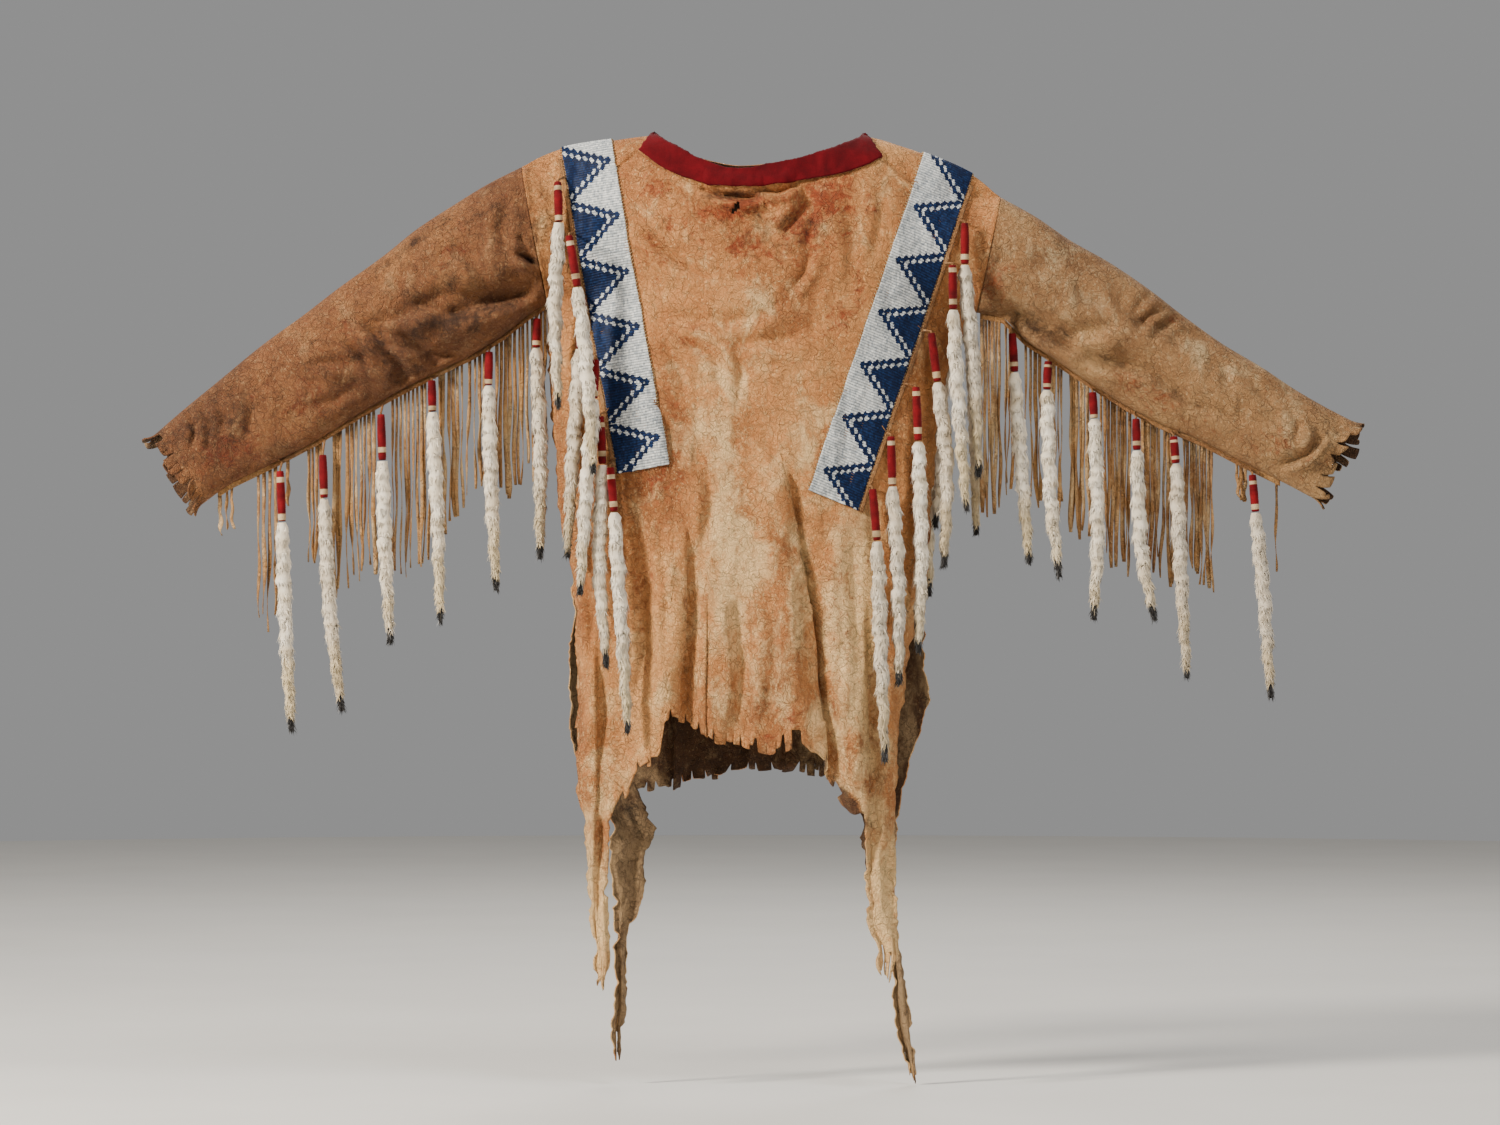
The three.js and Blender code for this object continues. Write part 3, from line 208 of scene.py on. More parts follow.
DROPS_BACK_LEFT = drops(
    (-277, -52, -277, -108, -279, -240, -277, -370, 0),
    (-262, -126, -259, -188, -256, -320, -254, -452, 24),
    (-247, -205, -248, -264, -250, -400, -248, -540, 0),
    (-232, -284, -230, -342, -226, -470, -222, -612, 24),
    (-219, -360, -218, -420, -219, -552, -214, -690, 0),
    (-205, -432, -201, -490, -192, -620, -184, -770, 24),
)
DROPS_BACK_RIGHT = drops(
    (277, -109, 281, -168, 291, -330, 294, -524, 0),
    (253, -176, 251, -236, 245, -370, 238, -513, 0),
    (227, -262, 229, -322, 228, -466, 230, -608, 22),
    (201, -337, 202, -400, 205, -540, 205, -666, 0),
    (174, -408, 176, -469, 180, -590, 179, -707, 0),
    (149, -474, 151, -541, 154, -670, 155, -789, 0),
)
DROPS_SLEEVE_LEFT = drops(
    (-654, -437, -651, -505, -646, -650, -638, -790, 0),
    (-596, -415, -594, -473, -586, -626, -570, -763, 0),
    (-517, -360, -515, -422, -511, -543, -504, -670, 0),
    (-448, -314, -447, -356, -441, -483, -436, -643, 0),
    (-370, -275, -371, -320, -367, -462, -360, -599, 0),
    (-305, -230, -306, -269, -300, -422, -301, -557, 0),
)
DROPS_SLEEVE_RIGHT = drops(
    (340, -250, 343, -302, 352, -428, 363, -563, 0),
    (389, -288, 387, -326, 392, -469, 404, -581, 0),
    (449, -330, 451, -365, 456, -517, 450, -639, 0),
    (508, -366, 509, -408, 514, -532, 533, -639, 0),
    (559, -390, 562, -426, 568, -558, 577, -718, 0),
    (666, -442, 670, -492, 681, -604, 691, -745, 0),
)
FRINGE_LEFT = table(
    "from to strands length",
    (-737, -721, 2, 54), (-685, -662, 3, 212), (-645, -644, 1, 60), (-616, -600, 3, 168),
    (-582, -574, 2, 216), (-564, -527, 5, 224), (-502, -452, 7, 246), (-438, -408, 4, 212),
    (-397, -377, 3, 178), (-360, -295, 8, 214),
)
FRINGE_RIGHT = table(
    "from to strands length",
    (300, 323, 4, 262), (333, 341, 2, 232), (360, 378, 3, 216), (394, 408, 3, 196),
    (420, 443, 4, 206), (462, 500, 6, 216), (518, 541, 4, 196), (548, 557, 2, 218),
    (575, 612, 6, 190), (646, 657, 2, 50), (700, 702, 1, 128),
)
ARMHOLE = {"left": (-24, -208, 44), "right": (-65, -220, 42)}
STRIPS = {
    "left": {"x": -237.5, "z": 4.5, "runX": 78, "runZ": -439.5, "acrossX": 34.6, "acrossZ": 6.2},
    "right": {"x": 252.5, "z": -20, "runX": -156.5, "runZ": -457, "acrossX": -33.8, "acrossZ": 14.1},
}

# Creases of the front and back: depth, width, then x and z of points down the crease
FRONT_CREASES = [
    (12, 5.5, -84, -56, -54, -66, -23, -70, 2, -69), (7, 4.5, -10, -58, 20, -63, 50, -54),
    (2.6, 2.6, -166, -4, -182, -16, -198, -30), (2.6, 2.6, 158, -12, 184, -30, 212, -50),
    (6.5, 7, 56, -54, 52, -87, 28, -120), (3, 8, 62, -60, 70, -100, 58, -140),
    (6.5, 7, -175, -103, -143, -133, -101, -163, -63, -182),
    (3.5, 5, -171, -136, -146, -160, -122, -171),
    (4, 9, -165, -211, -113, -231, -45, -237, 5, -227, 33, -204),
    (4.5, 8, -146, -228, -105, -257, -68, -280, -54, -310),
    (3, 7, -135, -265, -112, -302, -101, -333), (3, 6, 33, -204, 58, -170, 68, -136),
    (2.5, 7, -37, -265, -27, -306, -33, -354), (3, 7, -150, -333, -128, -374, -117, -435),
    (2.5, 9, -84, -245, -23, -265, 38, -258, 79, -238), (3, 6, -98, -75, -122, -57, -146, -44),
    (2.5, 9, 113, -75, 122, -136, 117, -204), (2, 7, 160, -54, 158, -109, 144, -163),
    (3, 10, -3, -381, 38, -449, 52, -530), (3, 9, -78, -408, -68, -476, -84, -558),
    (4, 9, -166, -558, -155, -666, -166, -748), (3, 7, -136, -503, -128, -612, -133, -721),
    (3.5, 8, -37, -612, -27, -694, -33, -782), (2.5, 8, 11, -558, 19, -666, 8, -775),
    (4, 10, 128, -476, 120, -571, 131, -694, 122, -802), (3.5, 8, 150, -694, 144, -775, 152, -870),
    (2.5, 7, 101, -558, 109, -666, 103, -748), (4, 8, -220, -666, -212, -748, -220, -830),
    (3, 7, -237, -558, -231, -639, -237, -721), (2.5, 6, -23, -796, -14, -748, -22, -694),
]
BACK_CREASES = [
    (5, 8, -160, -120, -118, -160, -70, -188),
    (4.5, 10, -150, -190, -90, -226, -20, -238, 50, -220, 104, -180),
    (4.5, 8, 150, -110, 120, -150, 84, -176), (3.5, 10, -120, -260, -50, -292, 30, -290, 92, -262),
    (3, 9, -96, -330, -80, -400, -92, -470), (3, 10, 24, -330, 36, -410, 26, -500),
    (3.5, 10, 110, -330, 122, -430, 116, -520), (4, 9, -180, -420, -170, -540, -182, -660),
    (3.5, 9, -64, -520, -74, -620, -66, -740), (3.5, 9, 30, -560, 22, -660, 34, -760),
    (3.5, 9, 140, -560, 130, -660, 140, -780), (3.5, 8, -210, -640, -204, -740, -214, -820),
    (4, 6, -30, -60, 10, -80, 60, -70),
]
# Hanging folds, each stepping down on its right: edge, height, crest, width, undercut
FRONT_FLAPS = [
    ([(-227, -640), (-226, -760), (-225, -900)], 6, 6, 18, 2.0),
    ([(-102, -500), (-103, -560), (-105, -612), (-109, -666), (-117, -748), (-122, -860)],
     16, 22, 19, 6.0),
    ([(-75, -570), (-77, -680), (-81, -860)], 6, 5, 12, 3.0),
    ([(22, -390), (38, -485), (52, -567), (63, -630), (71, -711), (84, -860)],
     17, 6, 42, 7.0),
    ([(136, -590), (139, -760), (143, -920)], 8, 8, 26, 3.5),
]
BACK_FLAPS = [
    ([(-118, -470), (-128, -640), (-122, -870)], 9, 12, 26, 4.0),
    ([(-20, -520), (-12, -680), (-22, -860)], 8, 6, 30, 3.5),
    ([(92, -430), (106, -640), (98, -880)], 10, 8, 36, 4.5),
]
# Creases of the sleeves, in the same order
SLEEVE_CREASES = {
    "left": [
        (7, 8, -540, -243, -483, -254, -449, -278, -398, -280),
        (5, 7, -529, -272, -500, -300, -483, -322),
        (4, 8, -560, -230, -520, -236, -480, -226, -440, -212),
        (7, 13, -495, -222, -430, -198, -360, -200, -310, -196),
        (11, 5.5, -332, -142, -314, -152, -296, -160), (5, 6, -330, -118, -318, -134, -300, -146),
        (6, 6, -547, -237, -506, -264, -457, -276), (5, 6, -531, -246, -494, -289, -476, -320),
        (4, 6, -568, -258, -531, -289, -506, -301), (3.4, 7, -611, -292, -568, -289, -531, -292),
        (9, 12, -450, -232, -400, -216, -330, -196, -304, -178),
        (4, 9, -470, -206, -420, -222, -360, -236), (3, 6, -505, -318, -450, -296, -412, -270),
        (3, 8, -560, -196, -530, -182, -500, -184), (3, 8, -340, -64, -352, -110, -344, -150),
        (3, 5, -780, -352, -768, -380, -772, -410), (3, 5, -762, -342, -748, -374, -752, -412),
        (2.6, 5, -742, -336, -730, -366, -734, -404), (2.2, 7, -700, -330, -690, -356, -700, -392),
        (2.2, 9, -640, -300, -610, -316, -580, -312), (2.4, 8, -620, -350, -580, -340, -545, -318),
        (3, 9, -420, -130, -390, -150, -372, -186),
    ],
    "right": [
        (10, 12, 300, -226, 352, -222, 416, -252, 479, -242),
        (8, 10, 340, -240, 411, -265, 468, -288, 524, -299, 586, -339),
        (4, 6, 508, -246, 524, -226, 548, -214), (3.5, 6, 526, -256, 544, -240, 566, -228),
        (3, 6, 504, -224, 514, -208, 532, -198),
        (3.5, 10, 470, -196, 512, -232, 560, -252, 610, -258),
        (5, 5, 700, -430, 738, -416, 762, -390), (2.5, 8, 640, -300, 668, -318, 690, -350),
        (3, 8, 560, -330, 604, -352, 650, -366), (3, 7, 310, -110, 322, -150, 306, -186),
        (3, 9, 420, -180, 440, -206, 476, -220), (2.4, 6, 716, -350, 728, -376, 722, -404),
        (2.2, 5, 740, -366, 752, -388, 744, -412), (2.5, 8, 600, -286, 624, -300, 640, -330),
    ],
}

# Marks on the hide, by kind: middle, half sizes, turn in degrees, strength. The dark marks hold real
# grime and painted shade in creases, along folds and under bulges.
FRONT_MARKS = {
    "red": [
        (-143, -57, 19, 14, 0, 0.8), (-128, -103, 12, 19, 0, 0.6), (-37, -84, 57, 19, 8, 0.9),
        (-23, -133, 27, 16, 0, 0.8), (14, -144, 14, 12, 0, 0.7), (90, -68, 35, 38, 20, 0.9),
        (106, -122, 19, 24, 0, 0.6), (147, -79, 11, 22, 20, 0.5), (106, -234, 14, 22, -30, 0.8),
        (-84, -106, 22, 22, 0, 0.5), (-30, -171, 14, 11, 0, 0.6), (-98, -258, 33, 22, 20, 0.4),
        (-152, -136, 24, 41, 0, 0.35), (38, -768, 22, 16, 0, 0.6), (4, -796, 14, 8, 0, 0.5),
        (-204, -20, 14, 14, 0, 0.3), (-139, -449, 27, 82, 0, 0.4), (-166, -612, 22, 95, 0, 0.35),
        (-84, -666, 16, 54, 0, 0.3), (113, -612, 27, 109, 0, 0.35), (60, -104, 40, 50, 20, 0.75),
        (150, -250, 16, 50, -14, 0.7), (128, -200, 10, 40, 0, 0.6),
    ],
    # Dark marks: painted shade under the neck band's crease, along the edges of the hanging folds
    # and in the curl of the hem by the right leg, besides grime.
    "dark": [
        (-37, -67, 46, 8, 4, 0.9), (-150, -122, 27, 12, 38, 0.5), (-300, -110, 40, 110, 0, 0.6),
        (-98, -272, 27, 19, 30, 0.35), (-23, -347, 5, 14, 0, 0.4), (57, -585, 7, 163, -4, 0.4),
        (-102, -666, 8, 95, 0, 0.45), (38, -809, 33, 14, 10, 0.6), (300, -136, 20, 54, 0, 0.3),
        (-84, -313, 41, 7, 20, 0.3), (-27, -462, 4, 54, 0, 0.3), (10, -112, 110, 42, 0, 0.5),
        (116, -884, 36, 9, -51, 1.5), (-178, -620, 22, 190, 0, 0.35),
    ],
    "pale": [
        (-50, -367, 46, 122, 0, 0.7), (-27, -558, 60, 95, 0, 0.75), (-64, -721, 24, 54, 0, 0.5),
        (18, -734, 35, 41, 0, 0.6), (113, -666, 35, 82, 0, 0.7), (-10, -204, 22, 41, 0, 0.4),
        (-220, -870, 30, 82, 0, 0.8), (160, -911, 30, 95, 0, 0.7), (-132, -741, 19, 19, 0, 0.7),
        (-30, -435, 82, 54, 0, 0.4), (-207, -802, 24, 54, 0, 0.6), (-220, -1040, 40, 120, 0, 1.3),
        (165, -1030, 40, 120, 0, 1.4), (126, -650, 34, 150, 0, 1.5), (50, -600, 22, 60, 0, 1.1),
        (-38, -540, 34, 130, 0, 1.15), (66, -420, 30, 60, 0, 0.6), (-40, -640, 70, 150, 0, 0.5),
        (96, -800, 40, 90, 0, 0.7), (150, -800, 34, 110, 0, 0.8),
    ],
}
BACK_MARKS = {
    "red": [
        (-60, -60, 60, 20, 0, 0.6), (80, -70, 40, 30, 0, 0.5), (-120, -420, 30, 90, 0, 0.4),
        (120, -560, 30, 110, 0, 0.4), (10, -760, 60, 40, 0, 0.5),
    ],
    # Dark marks: grime, with painted shade along a thin fold line and at the hem, where the inside
    # shows below the front.
    "dark": [
        (0, -48, 90, 10, 0, 0.6), (-285, -110, 22, 70, 0, 0.6), (290, -140, 22, 60, 0, 0.5),
        (0, -850, 190, 40, 0, 0.45), (60, -460, 8, 120, 4, 0.3), (-180, -900, 30, 40, 20, 0.5),
    ],
    "pale": [
        (0, -320, 80, 120, 0, 0.7), (-40, -600, 70, 110, 0, 0.7), (110, -760, 60, 70, 0, 0.6),
        (-200, -800, 40, 100, 0, 0.7), (-190, -1080, 50, 120, 0, 0.8),
        (190, -1090, 50, 140, 0, 0.8), (208, -720, 34, 130, 0, 0.55),
        (-250, -720, 24, 130, 0, 1.1), (-185, -1000, 60, 90, 0, 1.2),
        (-200, -1160, 60, 80, 0, 1.0), (195, -1150, 60, 120, 0, 1.2),
    ],
}
SLEEVE_MARKS = {
    "left": {
        "red": [
            (-620, -340, 60, 40, 30, 0.4), (-720, -410, 50, 30, 30, 0.6),
            (-420, -150, 50, 30, 30, 0.35), (-560, -260, 50, 30, 30, 0.3),
        ],
        # Dark marks: painted shade in the armpit crease, under the bulge of the upper sleeve and
        # along the creases, besides grime.
        "dark": [
            (-420, -236, 90, 20, 14, 0.9), (-314, -152, 20, 5, -24, 1.0),
            (-470, -128, 70, 8, 36, 0.7), (-380, -90, 60, 7, 30, 0.6), (-340, -90, 30, 40, 0, 0.5),
            (-520, -270, 60, 30, 30, 0.6), (-600, -300, 80, 30, 30, 0.4),
            (-745, -375, 80, 50, 30, 0.6), (-470, -300, 50, 10, 28, 0.5),
            (-815, -400, 20, 40, 30, 0.6), (-440, -190, 150, 70, 30, 0.42),
            (-640, -330, 150, 60, 32, 0.3),
        ],
        "pale": [
            (-460, -190, 40, 22, 30, 0.3), (-350, -180, 40, 30, 0, 0.3),
            (-640, -290, 60, 22, 36, 0.3),
        ],
    },
    "right": {
        "red": [
            (520, -330, 60, 16, -30, 0.55), (310, -180, 26, 30, 0, 0.5),
            (560, -230, 40, 20, 0, 0.3), (700, -400, 40, 20, -20, 0.4),
        ],
        # Dark marks: painted shade along the big folds from the armpit, besides grime.
        "dark": [
            (390, -240, 50, 20, -20, 0.5), (480, -290, 60, 8, -24, 0.5),
            (310, -140, 12, 60, 0, 0.4), (760, -400, 30, 50, -20, 0.5),
            (560, -336, 60, 10, -26, 0.4), (372, -243, 56, 24, -22, 0.75),
        ],
        "pale": [
            (400, -150, 50, 30, -30, 0.7), (460, -200, 40, 30, -30, 0.6),
            (620, -290, 60, 26, -30, 0.6), (350, -190, 40, 26, 0, 0.5),
            (720, -360, 40, 26, -30, 0.5),
        ],
    },
}


def lerp(a, b, t):
    return a + (b - a) * t


def ease(start, end, value):
    t = np.clip((value - start) / (end - start), 0, 1)
    return t * t * (3 - 2 * t)


def read(tab, along, wanted, where):
    """Reads a column at a place along another column, smoothly and without overshoot."""
    xs, ys = tab[along], tab[wanted]
    if xs[0] > xs[-1]:
        xs, ys = xs[::-1], ys[::-1]
    where = np.clip(np.asarray(where, dtype=float), xs[0], xs[-1])
    grade = np.diff(ys) / np.diff(xs)
    slope = np.empty_like(ys)
    slope[0], slope[-1] = grade[0], grade[-1]
    total = grade[:-1] + grade[1:]
    same = grade[:-1] * grade[1:] > 0
    slope[1:-1] = np.where(same, 2 * grade[:-1] * grade[1:] / np.where(same, total, 1), 0)
    k = np.clip(np.searchsorted(xs, where, side="right") - 1, 0, len(xs) - 2)
    span = xs[k + 1] - xs[k]
    t = (where - xs[k]) / span
    bend = slope[k] * span * t * (1 - t) ** 2 - slope[k + 1] * span * t * t * (1 - t)
    return ys[k] * (1 + 2 * t) * (1 - t) ** 2 + ys[k + 1] * t * t * (3 - 2 * t) + bend


LATTICE = np.random.default_rng(1378).random((12, 64, 64))


def lumps(u, v, layer):
    """Smooth noise from -1 to 1 whose lumps are about one unit across."""
    i, j = np.floor(u).astype(int), np.floor(v).astype(int)
    s, t = u - i, v - j
    s, t = s * s * (3 - 2 * s), t * t * (3 - 2 * t)
    grid = LATTICE[layer]
    near = lerp(grid[i % 64, j % 64], grid[(i + 1) % 64, j % 64], s)
    far = lerp(grid[i % 64, (j + 1) % 64], grid[(i + 1) % 64, (j + 1) % 64], s)
    return 2 * lerp(near, far, t) - 1


def crease_shift(creases, x, z):
    """Sum of the creases: each is a trough with a lip beside it, fading at its ends."""
    total = np.zeros(np.broadcast(x, z).shape)
    for deep, wide, *path in creases:
        path = np.array(path, dtype=float).reshape(-1, 2)
        steps = np.linalg.norm(np.diff(path, axis=0), axis=1)
        starts = np.concatenate([[0], np.cumsum(steps)])
        best = np.full(total.shape, 1e9)
        side = np.zeros(total.shape)
        along = np.zeros(total.shape)
        for k, step in enumerate(steps):
            (ax, az), (bx, bz) = path[k], path[k + 1]
            t = np.clip(((x - ax) * (bx - ax) + (z - az) * (bz - az)) / step**2, 0, 1)
            off_x, off_z = x - lerp(ax, bx, t), z - lerp(az, bz, t)
            away = np.hypot(off_x, off_z)
            turn = off_x * (bz - az) - off_z * (bx - ax)
            closer = away < best
            best = np.where(closer, away, best)
            side = np.where(closer, np.sign(turn), side)
            along = np.where(closer, (starts[k] + t * step) / starts[-1], along)
        fade = np.clip(4 * along * (1 - along), 0, 1) ** 0.6
        reach = best * side
        trough = np.exp(-np.abs(reach / wide) ** 1.5)
        lip = np.exp(-(((reach - 2.0 * wide) / (1.3 * wide)) ** 2))
        roll = np.exp(-(((reach + 3.2 * wide) / (2.2 * wide)) ** 2))
        total += deep * fade * (0.75 * lip + 0.3 * roll - trough)
    return total


def mark_masks(marks, x, z):
    """Strength of the red, dark and pale marks at each point."""
    masks = []
    for kind in ("red", "dark", "pale"):
        mask = np.zeros(x.shape)
        for mx, mz, wide, tall, turn, strength in marks[kind]:
            c, s = math.cos(math.radians(turn)), math.sin(math.radians(turn))
            u = ((x - mx) * c + (z - mz) * s) / wide
            v = ((z - mz) * c - (x - mx) * s) / tall
            mask = np.maximum(mask, strength * np.exp(-0.8 * (u * u + v * v)))
        masks.append(mask)
    return np.stack(masks, axis=-1)

def side_depth(hole, z, soft=None):
    """Depth at the side seam; `soft`, from 0 to 1, rounds off the armhole's ends."""
    top, under, deep = hole
    c = (z - (top + under) / 2) / ((top - under) / 2)
    arch = np.clip(1 - c * c, 0, 1)
    ring = deep * np.sqrt(arch) * (1 + FULLER_ABOVE * c)
    if soft is not None:
        ring = lerp(ring, deep * arch**1.4, soft)
    below = 0.5 + OPEN_SIDE_DEPTH * ease(0, 200, under - z)
    return np.where(c >= 1, 0, np.where(c > -1, np.maximum(0.5, ring), below))


def fold_depth(folds, x, z):
    total = 0.0
    for x1, z1, x2, z2, deep, wide in zip(*folds.values()):
        length = math.hypot(x2 - x1, z2 - z1)
        along = ((x - x1) * (x2 - x1) + (z - z1) * (z2 - z1)) / length
        away = ((x - x1) * (z2 - z1) - (z - z1) * (x2 - x1)) / length
        grow = ease(-20, length * 0.55, along) * (1 - ease(length, length * 1.35, along))
        total = total + deep * grow * np.exp(-((away / wide) ** 2))
    return total


def flap_edge(path, z):
    points = np.array(path, dtype=float)[::-1]
    return np.interp(z, points[:, 1], points[:, 0])


def flap_growth(path, z):
    return ease(path[0][1], lerp(path[0][1], path[-1][1], 0.5), z) ** 0.6

def flap_height(flaps, x, z):
    """Height of the hanging folds, which grow down from their upper ends."""
    total = 0.0
    for path, high, crest, wide, _ in flaps:
        off = x - flap_edge(path, z)
        grow = flap_growth(path, z)
        rise = np.exp(-(((off + crest) / wide) ** 2))
        near = 1 - 0.3 * ((off + crest) / crest) ** 2
        behind = -0.45 * np.exp(-((np.maximum(off, 0) / 13) ** 2))
        total = total + high * grow * np.where(off < -crest, rise, np.where(off < 0, near, behind))
    return total


# The two panels, with the tabs listed along their hems: place, cells, length, curl
FRONT = {
    "side": "front", "sign": -1, "cells": FRONT_CELLS, "sides": FRONT_SIDES, "hem": FRONT_HEM,
    "folds": FRONT_FOLDS, "creases": FRONT_CREASES, "flaps": FRONT_FLAPS, "marks": FRONT_MARKS,
    "layer": 0, "cut": 16, "tab_cells": (3, 6),
    "tabs": [
        (-150, 9, 15, 0.2), (-64, 7, 20, 0.3), (-8, 6, 17, 0.6), (29, 4, 34, 0.1),
        (52, 12, 26, 0.5), (108, 10, 12, 0.9),
    ],
    "holes": [(-36, -85, 3.4, 9.5, -0.55), (-252, -802, 3, 15, 0.0)],
    "legs": [
        {"from": 0, "count": 4, "rows": LEG_FRONT_LEFT, "ends": [0, -9, -2, -11, 1], "sway": 5},
        {"from": 22, "count": 3, "rows": LEG_FRONT_RIGHT, "ends": [-11, 0, -15, 2], "sway": 6},
    ],
}
BACK = {
    "side": "back", "sign": 1, "cells": BACK_CELLS, "sides": BACK_SIDES, "hem": BACK_HEM,
    "folds": BACK_FOLDS, "creases": BACK_CREASES, "flaps": BACK_FLAPS, "marks": BACK_MARKS,
    "layer": 3, "cut": 13, "tab_cells": (2, 8),
    "tabs": [(-120, 5, 19, 0.1), (-70, 3, 17, 0.1), (60, 4, 18, 0.1)],
    "holes": [(60, -700, 3.5, 8, 0.3)],
    "legs": [
        {"from": 0, "count": 4, "rows": LEG_BACK_LEFT, "ends": [0, -6, -2, -8, 0], "sway": -6},
        {"from": 21, "count": 4, "rows": LEG_BACK_RIGHT, "ends": [0, -6, -1, -11, -3], "sway": -7},
    ],
}

def side_edges(panel, z):
    """Left and right edges of a panel at a height."""
    return [read(panel["sides"], "z", side, z) for side in ("left", "right")]

def body_depth(panel, x, z, fine=False):
    """Depth of a panel's middle surface, measured from the plane of the shoulder line."""
    left, right = side_edges(panel, z)
    u = np.clip(2 * (x - left) / (right - left) - 1, -1, 1)
    side = np.abs(u)
    drop = np.maximum(0, read(SHOULDER, "x", "z", x) - z)
    crown = np.sqrt(1 - (1 - np.minimum(1, drop / CROWN_HEIGHT)) ** 2)
    soft = 1 - side**16 if fine else None
    seam = np.where(
        u < 0, side_depth(ARMHOLE["left"], z, soft), side_depth(ARMHOLE["right"], z, soft)
    )
    power = lerp(0.7, 1.5, ease(-300, -150, z))
    swell = read(BODY_SWELL, "z", panel["side"], z) * (1 - side**2.5) ** power * crown
    fold = fold_depth(panel["folds"], x - FOLD_SHIFT if fine else x, z) * ease(1, 0.85, side)
    depth = SEAM_SIDE + seam * side**3 + swell - fold
    if not fine:
        return depth
    layer = panel["layer"]
    low = ease(-250, -600, z)
    drape = lerp(1.4, 4.2, low) * lumps(x / 30 + 7, z / 130 + 3, layer)
    drape = drape + lerp(0.8, 2.2, low) * lumps(x / 14, z / 52, layer + 1)
    drape = drape + 0.7 * lumps(x / 8, z / 11, layer + 2)
    drape = drape + lerp(1.6, 2.6, low) * np.abs(lumps(x / 38, z / 70 + 9, layer + 1))
    crumple = 1 - np.abs(lumps(x / 27 + 5, z / 46 + 2, layer + 1))
    drape = drape + lerp(0.5, 1.8, low) * crumple**4 + 0.8 * flap_height(panel["flaps"], x, z)
    calm = ease(0, 34, drop) * ease(1, 0.93, side)
    return depth + calm * (1.7 * crease_shift(panel["creases"], x, z) + drape)


def vertex_normals(points, quads):
    a, b, c, d = (points[quads[:, k]] for k in range(4))
    normals = np.zeros_like(points)
    for k in range(4):
        np.add.at(normals, quads[:, k], np.cross(c - a, d - b))
    return normals / np.maximum(np.linalg.norm(normals, axis=1, keepdims=True), 1e-9)


def grid_quads(rows, wide, closed=False):
    """Quads of a grid of rows, each with `wide` points."""
    across = wide if closed else wide - 1
    r, c = np.meshgrid(np.arange(rows - 1), np.arange(across), indexing="ij")
    a = (r * wide + c).ravel()
    b = (r * wide + (c + 1) % wide).ravel()
    return np.column_stack([a, b, b + wide, a + wide])


class Form:
    """Gathers the vertices, faces, materials and marks of one piece."""

    def __init__(self):
        self.points, self.faces, self.slots, self.marks, self.count = [], [], [], [], 0
        self.normals = []

    def add(self, points, faces, slot=0, marks=None, normals=None):
        if normals is not None:
            self.normals.append(normals)
        self.faces.extend((np.asarray(faces) + self.count).tolist())
        self.slots.append(np.broadcast_to(slot, (len(faces),)))
        self.points.append(points)
        self.marks.append(np.zeros((len(points), 3)) if marks is None else marks)
        self.count += len(points)

    def wall(self, points, quads, low, high, marks=None, slots=(0, 0, 0)):
        """Adds an open sheet with a wall: slots are those of its face, back and rim."""
        used, inverse = np.unique(quads, return_inverse=True)
        points, quads = points[used], inverse.reshape(quads.shape)
        normals = vertex_normals(points, quads)
        n = len(points)
        edges = np.vstack([quads[:, [k, (k + 1) % 4]] for k in range(4)])
        ahead = edges[:, 0] * n + edges[:, 1]
        back = edges[:, 1] * n + edges[:, 0]
        rim = edges[~np.isin(back, ahead)]
        side = np.column_stack([rim[:, 1], rim[:, 0], rim[:, 0] + n, rim[:, 1] + n])
        faces = np.vstack([quads, quads[:, ::-1] + n, side])
        slot = np.repeat(slots, [len(quads), len(quads), len(side)])
        marks = None if marks is None else np.vstack([marks[used], marks[used]])
        self.add(np.vstack([points + normals * high, points + normals * low]), faces, slot, marks)

    def piece(self, name, slot, materials, nodes=()):
        mesh = bpy.data.meshes.new(name)
        mesh.from_pydata((np.vstack(self.points) * MM).tolist(), [], self.faces)
        mesh.polygons.foreach_set("use_smooth", [True] * len(mesh.polygons))
        mesh.polygons.foreach_set("material_index", np.concatenate(self.slots).astype(int))
        marks = np.vstack(self.marks)
        colours = np.hstack([marks, np.ones((len(marks), 1))])
        layer = mesh.attributes.new("marks", "FLOAT_COLOR", "POINT")
        layer.data.foreach_set("color", colours.ravel())
        for material in materials:
            mesh.materials.append(material)
        mesh.update()
        if self.normals:
            mesh.normals_split_custom_set_from_vertices(np.vstack(self.normals).tolist())
        piece = bpy.data.objects.new(name, mesh)
        bpy.context.scene.collection.objects.link(piece)
        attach(piece, "root")
        if nodes:
            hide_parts(*nodes)
        return piece


def tube(path, radii, sides):
    """Points and quads of an open tube, with the directions of its rings and of its path."""
    path = np.asarray(path, dtype=float)
    radii = np.asarray(radii, dtype=float)
    along = np.gradient(path, axis=0)
    along /= np.linalg.norm(along, axis=1, keepdims=True)
    across = np.empty_like(path)
    last = np.array([0.31, -0.9, 0.3])
    for k, direction in enumerate(along):
        last = last - direction * last.dot(direction)
        last /= np.linalg.norm(last)
        across[k] = last
    up = np.cross(along, across)
    angle = np.arange(sides) * 2 * math.pi / sides
    ring = across[:, None] * np.cos(angle)[None, :, None]
    ring = ring + up[:, None] * np.sin(angle)[None, :, None]
    if radii.ndim == 1:
        radii = radii[:, None]
    points = path[:, None] + ring * radii[..., None]
    quads = grid_quads(len(path), sides, closed=True)
    return points.reshape(-1, 3), quads, ring, along


